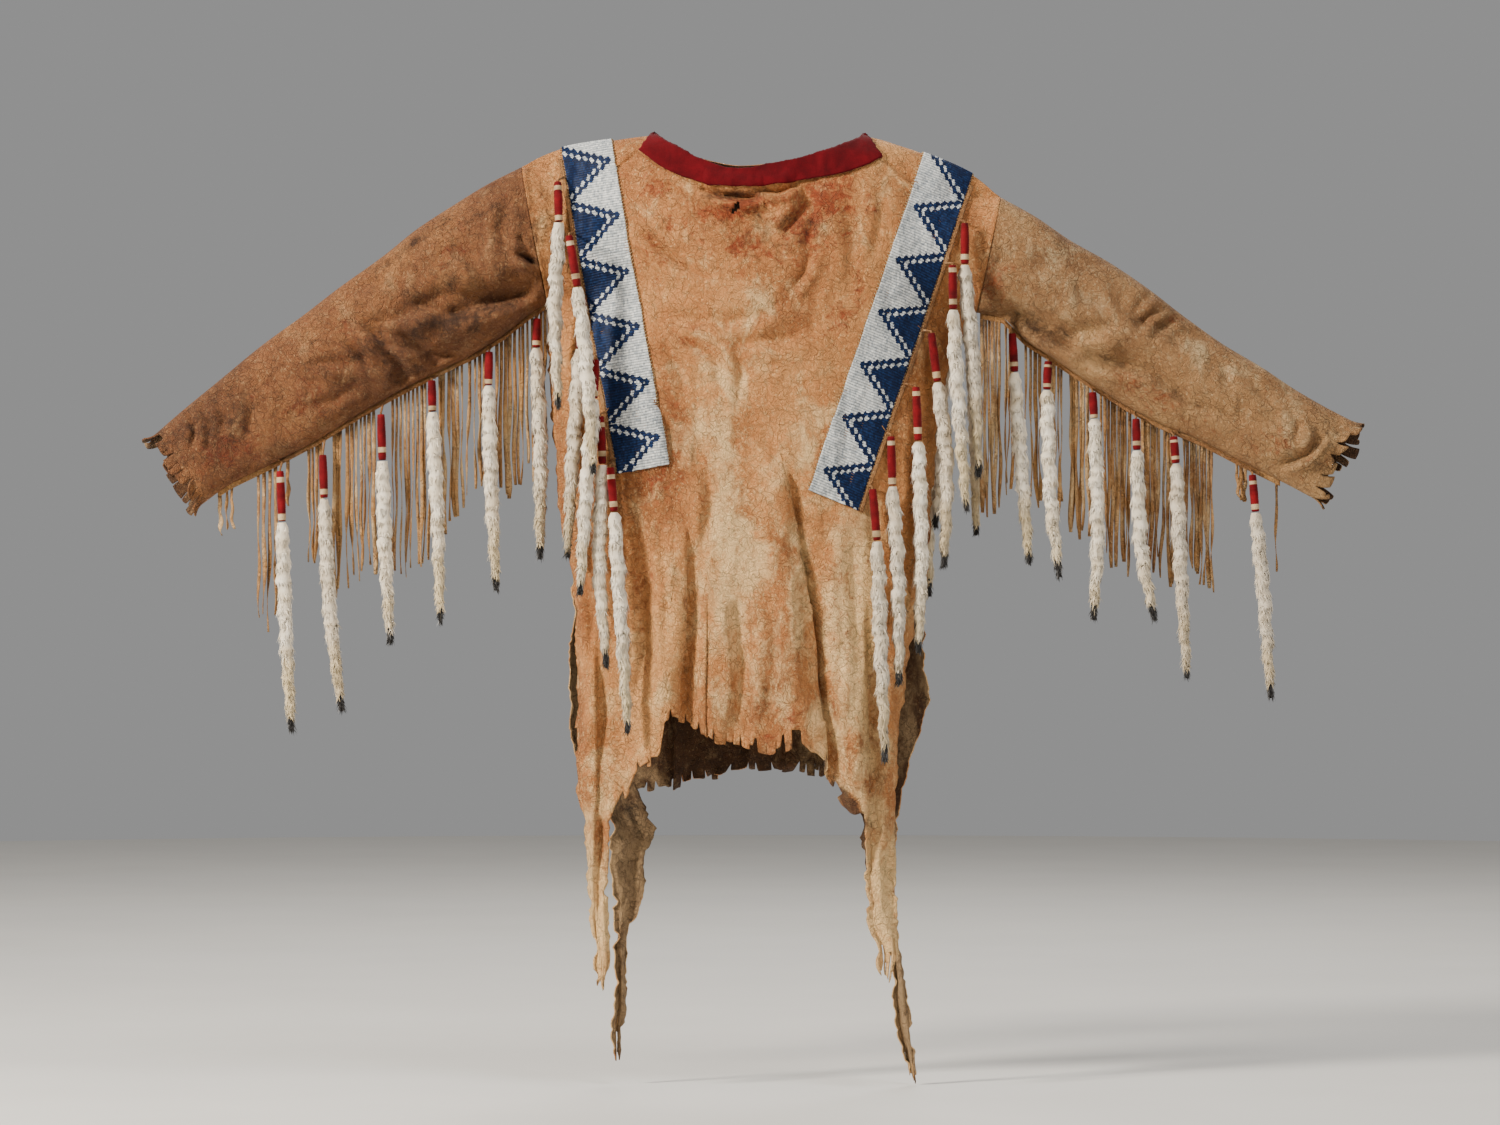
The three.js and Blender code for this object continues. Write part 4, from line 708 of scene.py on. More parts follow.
def capped(path, radii, sides):
    """A tube whose first and last rings are drawn in to almost nothing."""
    path = np.asarray(path, dtype=float)
    path = np.vstack([path[:1], path, path[-1:]])
    radii = np.concatenate([[0.05], radii, [0.05]])
    path[0] += (path[1] - path[2]) * 0.02
    path[-1] += (path[-2] - path[-3]) * 0.02
    return tube(path, radii, sides)[:2]


# Materials
def tone(text):
    """Linear colour from six hexadecimal digits."""
    parts = [int(text[k : k + 2], 16) / 255 for k in (0, 2, 4)]
    return [p / 12.92 if p <= 0.04045 else ((p + 0.055) / 1.055) ** 2.4 for p in parts] + [1.0]


class Shader:
    """A material whose nodes are added one by one, each giving its first output."""

    def __init__(self, name, rough=0.5, specular=0.5, sheen=0.0, sheen_rough=0.5):
        self.material = bpy.data.materials.new(name)
        self.material.use_nodes = True
        self.tree = self.material.node_tree
        self.surface = self.tree.nodes["Principled BSDF"]
        for key, value in {
            "Roughness": rough, "Specular IOR Level": specular, "Sheen Weight": sheen,
            "Sheen Roughness": sheen_rough,
        }.items():
            self.surface.inputs[key].default_value = value
        self.place = self.add("ShaderNodeTexCoord", out="Object")

    def add(self, kind, inputs=None, out=0, **settings):
        node = self.tree.nodes.new(kind)
        for key, value in settings.items():
            setattr(node, key, value)
        for key, value in (inputs or {}).items():
            self.set(node.inputs[key], value)
        return node.outputs[out]

    def set(self, socket, value):
        if isinstance(value, bpy.types.NodeSocket):
            self.tree.links.new(value, socket)
        else:
            socket.default_value = value

    def noise(self, scale, detail=4, rough=0.6, distort=0.0, stretch=None):
        where = self.place
        if stretch:
            where = self.add("ShaderNodeMapping", {"Vector": where, "Scale": stretch})
        return self.add(
            "ShaderNodeTexNoise",
            {"Vector": where, "Scale": scale, "Detail": detail, "Roughness": rough,
             "Distortion": distort},
        )

    def cracks(self, scale, wide):
        """1 along thin wandering lines, 0 elsewhere."""
        shift = self.add("ShaderNodeTexNoise", {"Vector": self.place, "Scale": scale * 0.6}, out=1)
        where = self.add(
            "ShaderNodeMix", {0: 0.04, 4: self.place, 5: shift}, out=1, data_type="VECTOR"
        )
        edge = self.add(
            "ShaderNodeTexVoronoi", {"Vector": where, "Scale": scale}, out="Distance",
            feature="DISTANCE_TO_EDGE",
        )
        return self.step(edge, wide, 0)

    def step(self, value, low, high, top=1.0):
        return self.add(
            "ShaderNodeMapRange",
            {"Value": value, "From Min": low, "From Max": high, "To Max": top},
            interpolation_type="SMOOTHSTEP",
        )

    def maths(self, how, a, b):
        return self.add("ShaderNodeMath", {0: a, 1: b}, operation=how)

    def plus(self, a, b, share):
        """a + b * share"""
        return self.maths("ADD", a, self.maths("MULTIPLY", b, share))

    def mix(self, factor, a, b):
        return self.add("ShaderNodeMix", {0: factor, 6: a, 7: b}, out=2, data_type="RGBA")

    def layer(self, colour, pattern, low, high, top, shade):
        """Lays a shade over a colour, growing as the pattern runs from `low` to `high`."""
        return self.mix(self.step(pattern, low, high, top), colour, tone(shade))

    def ramp(self, value, *stops):
        colour = self.add("ShaderNodeValToRGB", {0: value})
        points = colour.node.color_ramp.elements
        while len(points) < len(stops):
            points.new(0.5)
        for point, (where, shade) in zip(points, stops):
            point.position = where
            point.color = tone(shade)
        return colour

    def marks(self):
        marks = self.add("ShaderNodeAttribute", attribute_name="marks")
        parts = self.add("ShaderNodeSeparateColor", {0: marks}).node
        return parts.outputs[0], parts.outputs[1], parts.outputs[2]

    def finish(self, colour, height, strength, distance, rough=None):
        self.set(self.surface.inputs["Base Color"], colour)
        bump = self.add(
            "ShaderNodeBump", {"Strength": strength, "Distance": distance, "Height": height}
        )
        self.set(self.surface.inputs["Normal"], bump)
        if rough is not None:
            self.set(self.surface.inputs["Roughness"], rough)
        return self.material


def hide_material(name, deep, base, light, pale, stain, grime_and_shade, patchy=1.0):
    s = Shader(name, specular=0.22, sheen=0.03)
    red, dark, cream = s.marks()
    cloud = s.noise(26, 5, 0.58, 0.7, (1, 1, 0.6))
    blotch = s.noise(44, 8, 0.7, 0.5, (1, 1, 0.6))
    fleck = s.noise(130, 7, 0.76, 0.3)
    fine = s.noise(230, 6, 0.75, 0.6, (1, 1, 0.75))
    reach = s.plus(s.maths("MULTIPLY", cloud, 0.65), blotch, 0.35)
    reach = s.plus(reach, cream, 0.22 * patchy)
    lines = s.maths("MAXIMUM", s.cracks(70, 0.05), s.maths("MULTIPLY", s.cracks(170, 0.07), 0.55))
    colour = s.ramp(
        s.noise(9, 6, 0.62, 0.2, (1, 1, 0.55)), (0.32, deep), (0.5, base), (0.68, light))
    # Each layer: its pattern, where that starts and is full, its strength and its colour
    for pattern, low, high, top, shade in (
        (blotch, 0.42, 0.66, 0.3, light),
        (fleck, 0.5, 0.7, 0.42, deep),
        (s.noise(300, 4, 0.7), 0.56, 0.72, 0.25, deep),
        (reach, 0.53, 0.73, 0.7 * patchy, pale),
        (s.plus(fleck, cream, 0.14), 0.58, 0.74, 0.45 * patchy, pale),
        (s.noise(85, 7, 0.72, 0.7, (1, 1, 0.7)), 0.52, 0.64, 0.5, base),
        (fine, 0.54, 0.68, 0.4, base),
        (fine, 0.47, 0.34, 0.35, pale),
        (s.plus(s.noise(70, 7, 0.74, 0.8), red, 0.3), 0.56, 0.8, 0.85, stain),
        # The dark marks lay on this colour: real grime, and painted shade in creases and along
        # folds.
        (s.plus(s.noise(58, 7, 0.72, 0.4), dark, 0.42), 0.58, 0.95, 0.85, grime_and_shade),
    ):
        colour = s.layer(colour, pattern, low, high, top, shade)
    weak = s.maths("MULTIPLY", lines, s.step(blotch, 0.4, 0.6, 0.5))
    colour = s.mix(weak, colour, tone(grime_and_shade))
    height = s.plus(s.maths("MULTIPLY", blotch, 1.2), fleck, 0.9)
    height = s.plus(height, s.noise(560, 3, 0.6), 0.25)
    height = s.plus(height, lines, -0.5)
    rough = s.maths("ADD", s.step(fleck, 0.2, 0.9, 0.25), 0.66)
    return s.finish(colour, height, 0.9, 0.0044, rough)

HIDE = hide_material("hide", "884c25", "c48149", "dfa264", "ffd99a", "8c3414", "301c12", 0.95)
# The left sleeve's hide is a darker copy of the hide: painted shade over that sleeve, with some real
# soiling.
HIDE_LEFT_SHADED = hide_material(
    "hide_left", "53301a", "7e4f2e", "9a683d", "c4a072", "6c2a12", "2c190c", 0.5)
HIDE_RIGHT = hide_material(
    "hide_right", "6e4a2c", "a0744a", "bd9463", "e2c899", "863c18", "301c12", 0.7)
INSIDE = hide_material(
    "hide_inside", "311c0e", "4a2e19", "5f3e23", "b2926a", "44210f", "150c07", 1.15)
EDGING = hide_material("edging", "7c5230", "9c6c40", "b48454", "d0ac80", "804424", "3c2616")
FRINGE = hide_material("fringe", "8c5e38", "b6844f", "cf9f66", "e6c796", "85502a", "40281a")


def wool_material():
    s = Shader("wool", rough=0.95, specular=0.1, sheen=0.06, sheen_rough=0.4)
    felt = s.noise(900, 3, 0.7)
    patch = s.noise(30, 5, 0.6, 0.3)
    colour = s.ramp(patch, (0.3, "380509"), (0.52, "50070e"), (0.72, "620a13"))
    colour = s.layer(colour, felt, 0.35, 0.75, 0.3, "700e18")
    return s.finish(colour, felt, 0.7, 0.0009)

def bead_material(name, low, base, high, gap):
    s = Shader(name, rough=0.56, specular=0.14)
    _, dark, _ = s.marks()
    bead = (BEAD_ACROSS * MM, BEAD_ACROSS * MM, BEAD_ALONG * MM)
    cell = s.add("ShaderNodeVectorMath", {0: s.place, 1: bead}, operation="SNAP")
    each = s.add("ShaderNodeTexWhiteNoise", {"Vector": cell})
    fade = s.plus(s.maths("MULTIPLY", each, 0.6), s.noise(26, 4, 0.6), 0.4)
    colour = s.ramp(fade, (0.15, low), (0.5, base), (0.85, high))
    # The second mark channel lays painted shade between the beads, in the gap colour.
    colour = s.layer(colour, dark, 0.1, 0.9, 1.0, gap)
    return s.finish(colour, s.noise(1500, 2, 0.5), 0.15, 0.0003)

def wrap_material(name, low, base, high):
    s = Shader(name, rough=0.85, specular=0.15, sheen=0.05)
    thread = s.noise(600, 3, 0.6, 0.0, (1, 1, 3))
    colour = s.ramp(s.noise(60, 4, 0.6), (0.3, low), (0.5, base), (0.72, high))
    colour = s.layer(colour, thread, 0.4, 0.8, 0.4, low)
    return s.finish(colour, thread, 0.5, 0.0008)

def fur_material():
    """White fur that yellows towards the tail and ends in black hair."""
    s = Shader("fur", rough=0.9, specular=0.1, sheen=0.3, sheen_rough=0.6)
    yellow, black, dust_and_shade = s.marks()
    hair = s.noise(500, 3, 0.6, 0.0, (1, 1, 0.2))
    patch = s.noise(40, 5, 0.6, 0.3)
    colour = s.ramp(patch, (0.28, "cbb898"), (0.48, "e8dac2"), (0.7, "f6ecda"))
    colour = s.layer(colour, s.plus(yellow, patch, 0.3), 0.3, 0.95, 0.85, "ccb688")
    # Dust darkens the fur, with painted shade in the valleys between its lumps.
    colour = s.mix(s.maths("MULTIPLY", dust_and_shade, 0.5), colour, tone("a89478"))
    colour = s.layer(colour, hair, 0.55, 0.85, 0.2, "d2c8b4")
    colour = s.layer(colour, black, 0.35, 0.65, 1.0, "16110e")
    return s.finish(colour, hair, 0.25, 0.0008)

WOOL = wool_material()
WHITE_BEADS = bead_material("beads_white", "8f969b", "c0c3c2", "e2e2de", "3c3a38")
BLUE_BEADS = bead_material("beads_blue", "071430", "0b1e40", "142e58", "04070e")
RED_WRAP = wrap_material("wrap_red", "480409", "68070e", "840e16")
CREAM_WRAP = wrap_material("wrap_cream", "8c7456", "b49a76", "d2bc98")
THREAD = wrap_material("thread", "8d7450", "b29a70", "cdb78e")
FUR = fur_material()


# Front and back
def row_shares(count):
    """Shares down a panel, close together where the shoulder turns over."""
    near = 0.16
    t = np.linspace(0, 1, count)
    grow = 1 / (near**2 + 2 * near * (1 - near))
    return np.where(t < near, grow * t * t, grow * near**2 + 2 * grow * near * (t - near))


def across_panel(panel, share, z):
    return lerp(*side_edges(panel, z), share)

def top_edge(panel, x):
    neck = (x > NECKLINE["x"][0]) & (x < NECKLINE["x"][-1])
    return np.where(neck, read(NECKLINE, "x", panel["side"], x), read(SHOULDER, "x", "z", x))


def hem_at(panel, share):
    z = np.full(share.shape, HEM_GUESS)
    for _ in range(16):
        z = lerp(z, read(panel["hem"], "x", "z", across_panel(panel, share, z)), 0.7)
    return z


def column_share(column):
    """Share across the shoulders at which a numbered column of the panel starts."""
    corners = [SHOULDER["x"][0], NECKLINE["x"][0], NECKLINE["x"][-1], SHOULDER["x"][-1]]
    x = np.interp(column, [0, 8, 17, 25], corners)
    return (x - corners[0]) / (corners[3] - corners[0])


def cut_tabs(points, quads, edge, cells, along, out, rng, length, wide, curl):
    """Adds cut tabs below an edge; `edge` numbers its points and `cells` spans its tabbed cells."""
    k = cells[0]
    while k < cells[1]:
        stop = min(k + int(rng.integers(*wide)), cells[1])
        ids = edge[k : stop + 1]
        k = stop
        if len(ids) < 3 or rng.random() < 0.06:
            continue
        base = points[ids]
        middle = base.mean(axis=0)
        reach = length * rng.uniform(0.6, 1.15)
        lean = rng.normal(0, 0.16)
        lift = rng.normal(curl * 0.4, curl)
        twist = rng.normal(0, 0.5)
        side = base[-1] - base[0]
        f = np.linspace(-1, 1, len(ids))[:, None]
        above = np.array(ids)
        for step in range(1, TAB_STEPS + 1):
            s = step / TAB_STEPS
            narrow = lerp(base, middle, 0.04 + 0.08 * s + 0.25 * max(0, s - 0.75))
            droop = s * (1 - 0.05 * s * f**2)
            row = narrow + along[ids] * reach * droop + side * lean * s
            row = row + out[ids] * (reach * lift * s * s + twist * f * s * 4)
            below = len(points) + np.arange(len(ids))
            points = np.vstack([points, row])
            quads.append(np.column_stack([above[:-1], above[1:], below[1:], below[:-1]]))
            above = below
    return points


def flap_columns(panel, share, tops, hem, t):
    """Shares across the panel, row by row, with one column kept on each fold's edge."""
    fixed, moved, columns = [0.0], [np.zeros(len(t))], []
    for path, *_ in panel["flaps"]:
        end_x, end_z = path[-1]
        left, right = side_edges(panel, end_z)
        column = int(round((end_x - left) / (right - left) * panel["cells"][0]))
        z = lerp(tops[column], hem[column], t)
        left, right = side_edges(panel, z)
        wanted = (flap_edge(path, z) - left) / (right - left)
        fixed.append(share[column])
        moved.append(lerp(share[column], wanted, ease(path[0][1] + 330, path[0][1], z)))
        columns.append(column)
    fixed.append(1.0)
    moved = np.stack([*moved, np.ones(len(t))], axis=-1)
    return np.stack([np.interp(share, fixed, row) for row in moved]), columns


def hide_form(points, quads, flip, marks):
    """A wall of hide with its marks, whose inner face has the second material."""
    quads = np.vstack(quads)
    masks = mark_masks(marks, points[:, 0], points[:, 2])
    form = Form()
    form.wall(
        points, quads[:, ::-1] if flip else quads, -HIDE_WALL / 2, HIDE_WALL / 2, masks, (0, 1, 0))
    return form

def panel_form(panel, seed):
    rng = np.random.default_rng(seed)
    across, down = panel["cells"][0] + 1, panel["cells"][1] + 1
    share = np.linspace(0, 1, across)
    tops = lerp(SHOULDER["x"][0], SHOULDER["x"][-1], share)
    rise = top_edge(panel, tops)
    t = row_shares(down)
    spread, columns = flap_columns(panel, share, rise, hem_at(panel, share), t)
    hem = hem_at(panel, spread[-1]) + 2.5 * lumps(share * 60, share * 0, 5)
    z = lerp(rise[None, :], hem[None, :], t[:, None])
    x = across_panel(panel, spread, z)
    edge = np.abs(2 * share - 1)[None, :]
    ragged = 2.6 * lumps(z / 15, share[None, :] * 2, 6) + 1.4 * lumps(z / 6, share[None, :], 7)
    x = x + ragged * ease(0.95, 1, edge) * ease(-225, -290, z)
    for column, (path, *_) in zip(columns, panel["flaps"]):
        below = z[:, column] < path[0][1]
        x[below, column] = flap_edge(path, z[below, column]) - 0.3
    y = panel["sign"] * body_depth(panel, x, z, fine=True)
    for path, _, _, _, under in panel["flaps"]:
        off = np.minimum(x - flap_edge(path, z), 0)
        grow = flap_growth(path, z)
        under = under * (1 + 0.35 * lumps(z / 45, z * 0, 8)) * grow
        x = x + np.where(off < 0, under * np.exp(off / 6), 0)
    points = np.stack([x, y, z], axis=-1).reshape(-1, 3)
    quads = grid_quads(down, across)
    keep = np.ones(len(quads), dtype=bool)
    for hx, hz, wide, tall, turn in panel["holes"]:
        middle = points[quads].mean(axis=1)
        c, s = math.cos(turn), math.sin(turn)
        u = ((middle[:, 0] - hx) * c + (middle[:, 2] - hz) * s) / wide
        v = ((middle[:, 2] - hz) * c - (middle[:, 0] - hx) * s) / tall
        keep &= u * u + v * v > 1
    quads = [quads[keep]]
    bottom = (down - 1) * across + np.arange(across)
    legs = []
    for leg in panel["legs"]:
        first = int(round(column_share(leg["from"]) * panel["cells"][0]))
        last = int(round(column_share(leg["from"] + leg["count"]) * panel["cells"][0]))
        legs.append((leg, first, last))
    along = np.zeros_like(points)
    along[:, 2] = -1
    out = np.zeros_like(points)
    out[:, 1] = panel["sign"]
    # Between the legs, the listed tabs and plain cut ones in between
    spans, start = [], legs[0][2]
    for tab_x, cells, length, curl in panel["tabs"]:
        at = int(np.argmin(np.abs(points[bottom, 0] - tab_x)))
        spans.append(((start, at), panel["cut"], panel["tab_cells"], TAB_CURL))
        start = at + cells
        spans.append(((at, start), length, (cells, cells + 1), curl))
    spans.append(((start, legs[1][1]), panel["cut"], panel["tab_cells"], TAB_CURL))
    for cells, length, wide, curl in spans:
        points = cut_tabs(points, quads, bottom, cells, along, out, rng, length, wide, curl)
    for leg, first, last in legs:
        points = add_leg(points, quads, panel, leg, bottom[first : last + 1], rng)
    return hide_form(points, quads, panel["sign"] < 0, panel["marks"])

def add_leg(points, quads, panel, leg, top, rng):
    """Adds a hanging strip below part of the hem, folded lengthwise, torn and pronged."""
    rows = leg["rows"]
    f = np.linspace(0, 1, len(top))
    roots = points[top]
    mean = roots[:, 1].mean()
    levels = [np.column_stack([roots[:, 0], roots[:, 2]])]
    for k in range(len(rows["z"])):
        x = lerp(rows["left"][k], rows["right"][k], f)
        z = np.full(len(top), rows["z"][k])
        if k == len(rows["z"]) - 1:
            ends = 1.4 * np.array(leg["ends"], dtype=float)
            z = z + np.interp(f * leg["count"], np.arange(leg["count"] + 1), ends)
            z = z + 7 * lumps(f * 9, f * 0 + mean, 5)
        levels.append(np.column_stack([x, z]))
    first_z, last_z = rows["z"][0], rows["z"][-1]
    above = np.array(top)
    tears = rng.choice(np.arange(3, len(top) - 4), 4, replace=False)
    tear_from = rng.uniform(0.8, 0.95, 4)
    layer = 8 + (panel["sign"] > 0)
    sizes = [abs(levels[k + 1][:, 1].mean() - levels[k][:, 1].mean())
             for k in range(len(levels) - 1)]
    total, done = sum(sizes), 0.0
    bend = rng.uniform(0, 6)
    for k in range(len(levels) - 1):
        a, b = levels[k], levels[k + 1]
        steps = max(2, int(sizes[k] / LEG_STEP))
        for step in range(1, steps + 1):
            place = lerp(a, b, step / steps)
            x, z = place[:, 0], place[:, 1]
            share = (done + sizes[k] * step / steps) / total
            down = np.clip((z - first_z) / (last_z - first_z), 0, 1)
            flat = lerp(0.85, 0.3, ease(0, 0.5, down)) if k else lerp(1, 0.85, step / steps)
            cup = 3 * np.sin(math.pi * f) * panel["sign"] * down
            y = mean + (roots[:, 1] - mean) * flat + cup + leg["sway"] * np.sin(down * 4.2)
            pleat = np.sin(2 * math.pi * (1.4 * f + 0.25 * np.sin(share * 5 + bend)) + bend)
            y = y + 5.0 * pleat * ease(0, 0.25, share) * lerp(1, 0.6, share)
            y = y + 2.4 * lumps(f * 9 + bend, z / 34, layer) * ease(0, 0.1, share)
            side = np.abs(2 * f - 1)
            rough = 2.6 * lumps(z / 21 + 5 * np.sign(f - 0.5), f * 0, layer + 1)
            rough = np.abs(rough + 2.0 * lumps(z / 6, f * 0, layer))
            bite = np.clip(lumps(z / 16 + 9 * np.sign(f - 0.5), f * 0 + 7, layer + 1) - 0.25, 0, 1)
            rough = rough + 9 * bite
            x = x - np.sign(f - 0.5) * rough * ease(0.35, 1, side) * ease(0, 0.12, share)
            x = x + 2.5 * lumps(z / 40, f * 0 + bend, layer) * ease(0.2, 0.5, share)
            below = len(points) + np.arange(len(top))
            points = np.vstack([points, np.column_stack([x, y, z])])
            cells = np.column_stack([above[:-1], above[1:], below[1:], below[:-1]])
            whole = np.ones(len(cells), dtype=bool)
            for tear, start in zip(tears, tear_from):
                whole[tear] &= share < start
            quads.append(cells[whole])
            above = below
        done += sizes[k]
    return points


front_panel = panel_form(FRONT, 21).piece("front_panel", "hide", [HIDE, INSIDE], ["front_panel"])
back_panel = panel_form(BACK, 22).piece("back_panel", "hide", [HIDE, INSIDE], ["back_panel"])

# Sleeves
def sleeve_point(rows, ring, turn, creases):
    ring, turn = np.broadcast_arrays(np.asarray(ring, float), np.asarray(turn, float))
    numbers = dict(rows, ring=np.arange(len(rows["topX"]), dtype=float))
    mix = {key: read(numbers, "ring", key, ring) for key in rows}
    c, s = np.cos(turn), np.sin(turn)
    degrees = np.degrees(turn) % 360
    scale = np.ones(ring.shape)
    for at, middle, deep, rings, wide in zip(*SLEEVE_FOLDS.values()):
        near = np.exp(-(((ring - at) / rings) ** 2) - ((degrees - middle) / wide) ** 2)
        scale = scale - deep / mix["deep"] * near
    x = (mix["topX"] + mix["underX"]) / 2 + (mix["topX"] - mix["underX"]) / 2 * c
    z = (mix["topZ"] + mix["underZ"]) / 2 + (mix["topZ"] - mix["underZ"]) / 2 * c
    last = len(rows["topX"]) - 1
    lean = CUFF_LEAN * s * ease(last - 1, last, ring)
    depth = mix["deep"] * s * (1 + FULLER_ABOVE * c) * scale
    outward = np.sign(rows["topX"][0])
    x = x - lean * 0.8 * outward
    z = z + lean * 0.55
    calm = ease(0, 0.5, ring) * ease(0, 0.3, np.abs(s)) * np.sign(s)
    layer = np.where(s > 0, 0, 60)
    detail = 1.8 * lumps(x / 28 + layer, z / 26, 2) + 1.0 * lumps(x / 11 + layer, z / 13, 4)
    detail = detail + 3.4 * np.abs(lumps(x / 66 + layer, z / 44, 3))
    shift = 1.9 * crease_shift(creases, x, z) + detail
    return np.stack([x, -(depth + calm * shift), z], axis=-1)


def sleeve_form(side, rows, seed):
    rng = np.random.default_rng(seed)
    creases = SLEEVE_CREASES[side]
    outward = np.sign(rows["topX"][0])
    last = len(rows["topX"]) - 1
    ring = np.linspace(0, last, SLEEVE_RINGS + 1)[:, None]
    turn = np.linspace(0, 2 * math.pi, SLEEVE_AROUND, endpoint=False)[None, :]
    points = sleeve_point(rows, ring, turn, creases)
    gap = (1 - ease(0, 0.6, ring)) * ARMHOLE_GAP * 0.4
    points[..., 0] += outward * gap
    points[..., 2] -= 0.5 * gap / ARMHOLE_GAP
    points = points.reshape(-1, 3)
    quads = [grid_quads(SLEEVE_RINGS + 1, SLEEVE_AROUND, closed=True)]
    edge = SLEEVE_RINGS * SLEEVE_AROUND + np.arange(SLEEVE_AROUND)
    edge = np.concatenate([edge, edge[:1]])
    along = np.zeros_like(points)
    span = points[edge] - points[edge - 6 * SLEEVE_AROUND]
    along[edge] = span / np.linalg.norm(span, axis=1, keepdims=True)
    out = np.zeros_like(points)
    ring_out = points[edge] - points[edge].mean(axis=0)
    out[edge] = ring_out / np.linalg.norm(ring_out, axis=1, keepdims=True)
    points = cut_tabs(
        points, quads, edge, (0, SLEEVE_AROUND), along, out, rng, CUFF_CUT, (4, 8), 0.3
    )
    return hide_form(points, quads, outward < 0, SLEEVE_MARKS[side])

sleeve_left = sleeve_form("left", SLEEVE_LEFT, 31).piece(
    "sleeve_left", "hide", [HIDE_LEFT_SHADED, INSIDE], ["sleeve_left"])
sleeve_right = sleeve_form("right", SLEEVE_RIGHT, 32).piece(
    "sleeve_right", "hide", [HIDE_RIGHT, INSIDE], ["sleeve_right"])


# Beaded strips: the pattern and its places down each strip
CHARTS = {
    "left": {"notch": -0.5, "pitch": 76, "down": 28, "apex": 61.5},
    "right": {"notch": -32.5, "pitch": 75, "down": 32, "apex": 60},
}
LOZENGES = 14
LOZENGE_TALL = 4.6


def is_blue(chart, across, down):
    """Blue triangles from the outer edge, lined by a row of white and a row of blue lozenges."""
    reach = across / chart["apex"]
    place = (down - chart["notch"]) % chart["pitch"]
    upper = chart["down"] * reach
    lower = chart["pitch"] - (chart["pitch"] - chart["down"]) * reach
    inward = np.minimum(place - upper, lower - place) / LOZENGE_TALL
    u = reach * LOZENGES
    off = np.abs(u - 2 * np.round(u / 2))
    outer = (np.abs(inward) < 1.3) & (off < 1.3 - np.abs(inward))
    inner = (inward >= 1) & (off <= inward - 1)
    return outer | inner


def strip_surface(strip, across, runs, lift):
    """Points above the panels: across is -1 to 1, runs is -1 at the front end to 1 behind."""
    across, runs = np.broadcast_arrays(np.asarray(across, float), np.asarray(runs, float))
    start = np.zeros(across.shape)
    for _ in range(6):
        x = strip["x"] + strip["acrossX"] * across + strip["runX"] * start
        crest = read(SHOULDER, "x", "z", x)
        start = (crest - strip["z"] - strip["acrossZ"] * across) / strip["runZ"]
    down = lerp(start, 1.0, np.abs(runs))
    x = strip["x"] + strip["acrossX"] * across + strip["runX"] * down
    z = strip["z"] + strip["acrossZ"] * across + strip["runZ"] * down
    front = -body_depth(FRONT, x, z, fine=True)
    back = body_depth(BACK, x, z, fine=True)
    y = np.where(runs < 0, front, np.where(runs > 0, back, 0))
    points = np.stack([x, y, z], axis=-1)
    along = np.gradient(points, axis=0)
    side = np.gradient(points, axis=1)
    normal = np.cross(along, side)
    normal /= np.linalg.norm(normal, axis=-1, keepdims=True)
    flip = np.where((normal[..., 1] * runs + normal[..., 2] * (np.abs(runs) < 0.05)) < 0, -1, 1)
    normal = normal * flip[..., None]
    return points + normal * lift, normal, down


def run_places(strip, pitch):
    """Runs from the front end to the back end, spaced evenly along the cloth."""
    fine = np.linspace(-1, 1, 1601)
    fine = np.sign(fine) * np.abs(fine) ** 2
    line, _, _ = strip_surface(strip, np.array([[-0.1, 0, 0.1]]), fine[:, None], 1.6)
    line = line[:, 1]
    length = np.concatenate([[0], np.cumsum(np.linalg.norm(np.diff(line, axis=0), axis=1))])
    count = int(round(length[-1] / pitch))
    return np.interp(np.linspace(0, length[-1], count + 1), length, fine), length[-1]


STRIP_LOW = HIDE_WALL / 2 + STRIP_CLEAR


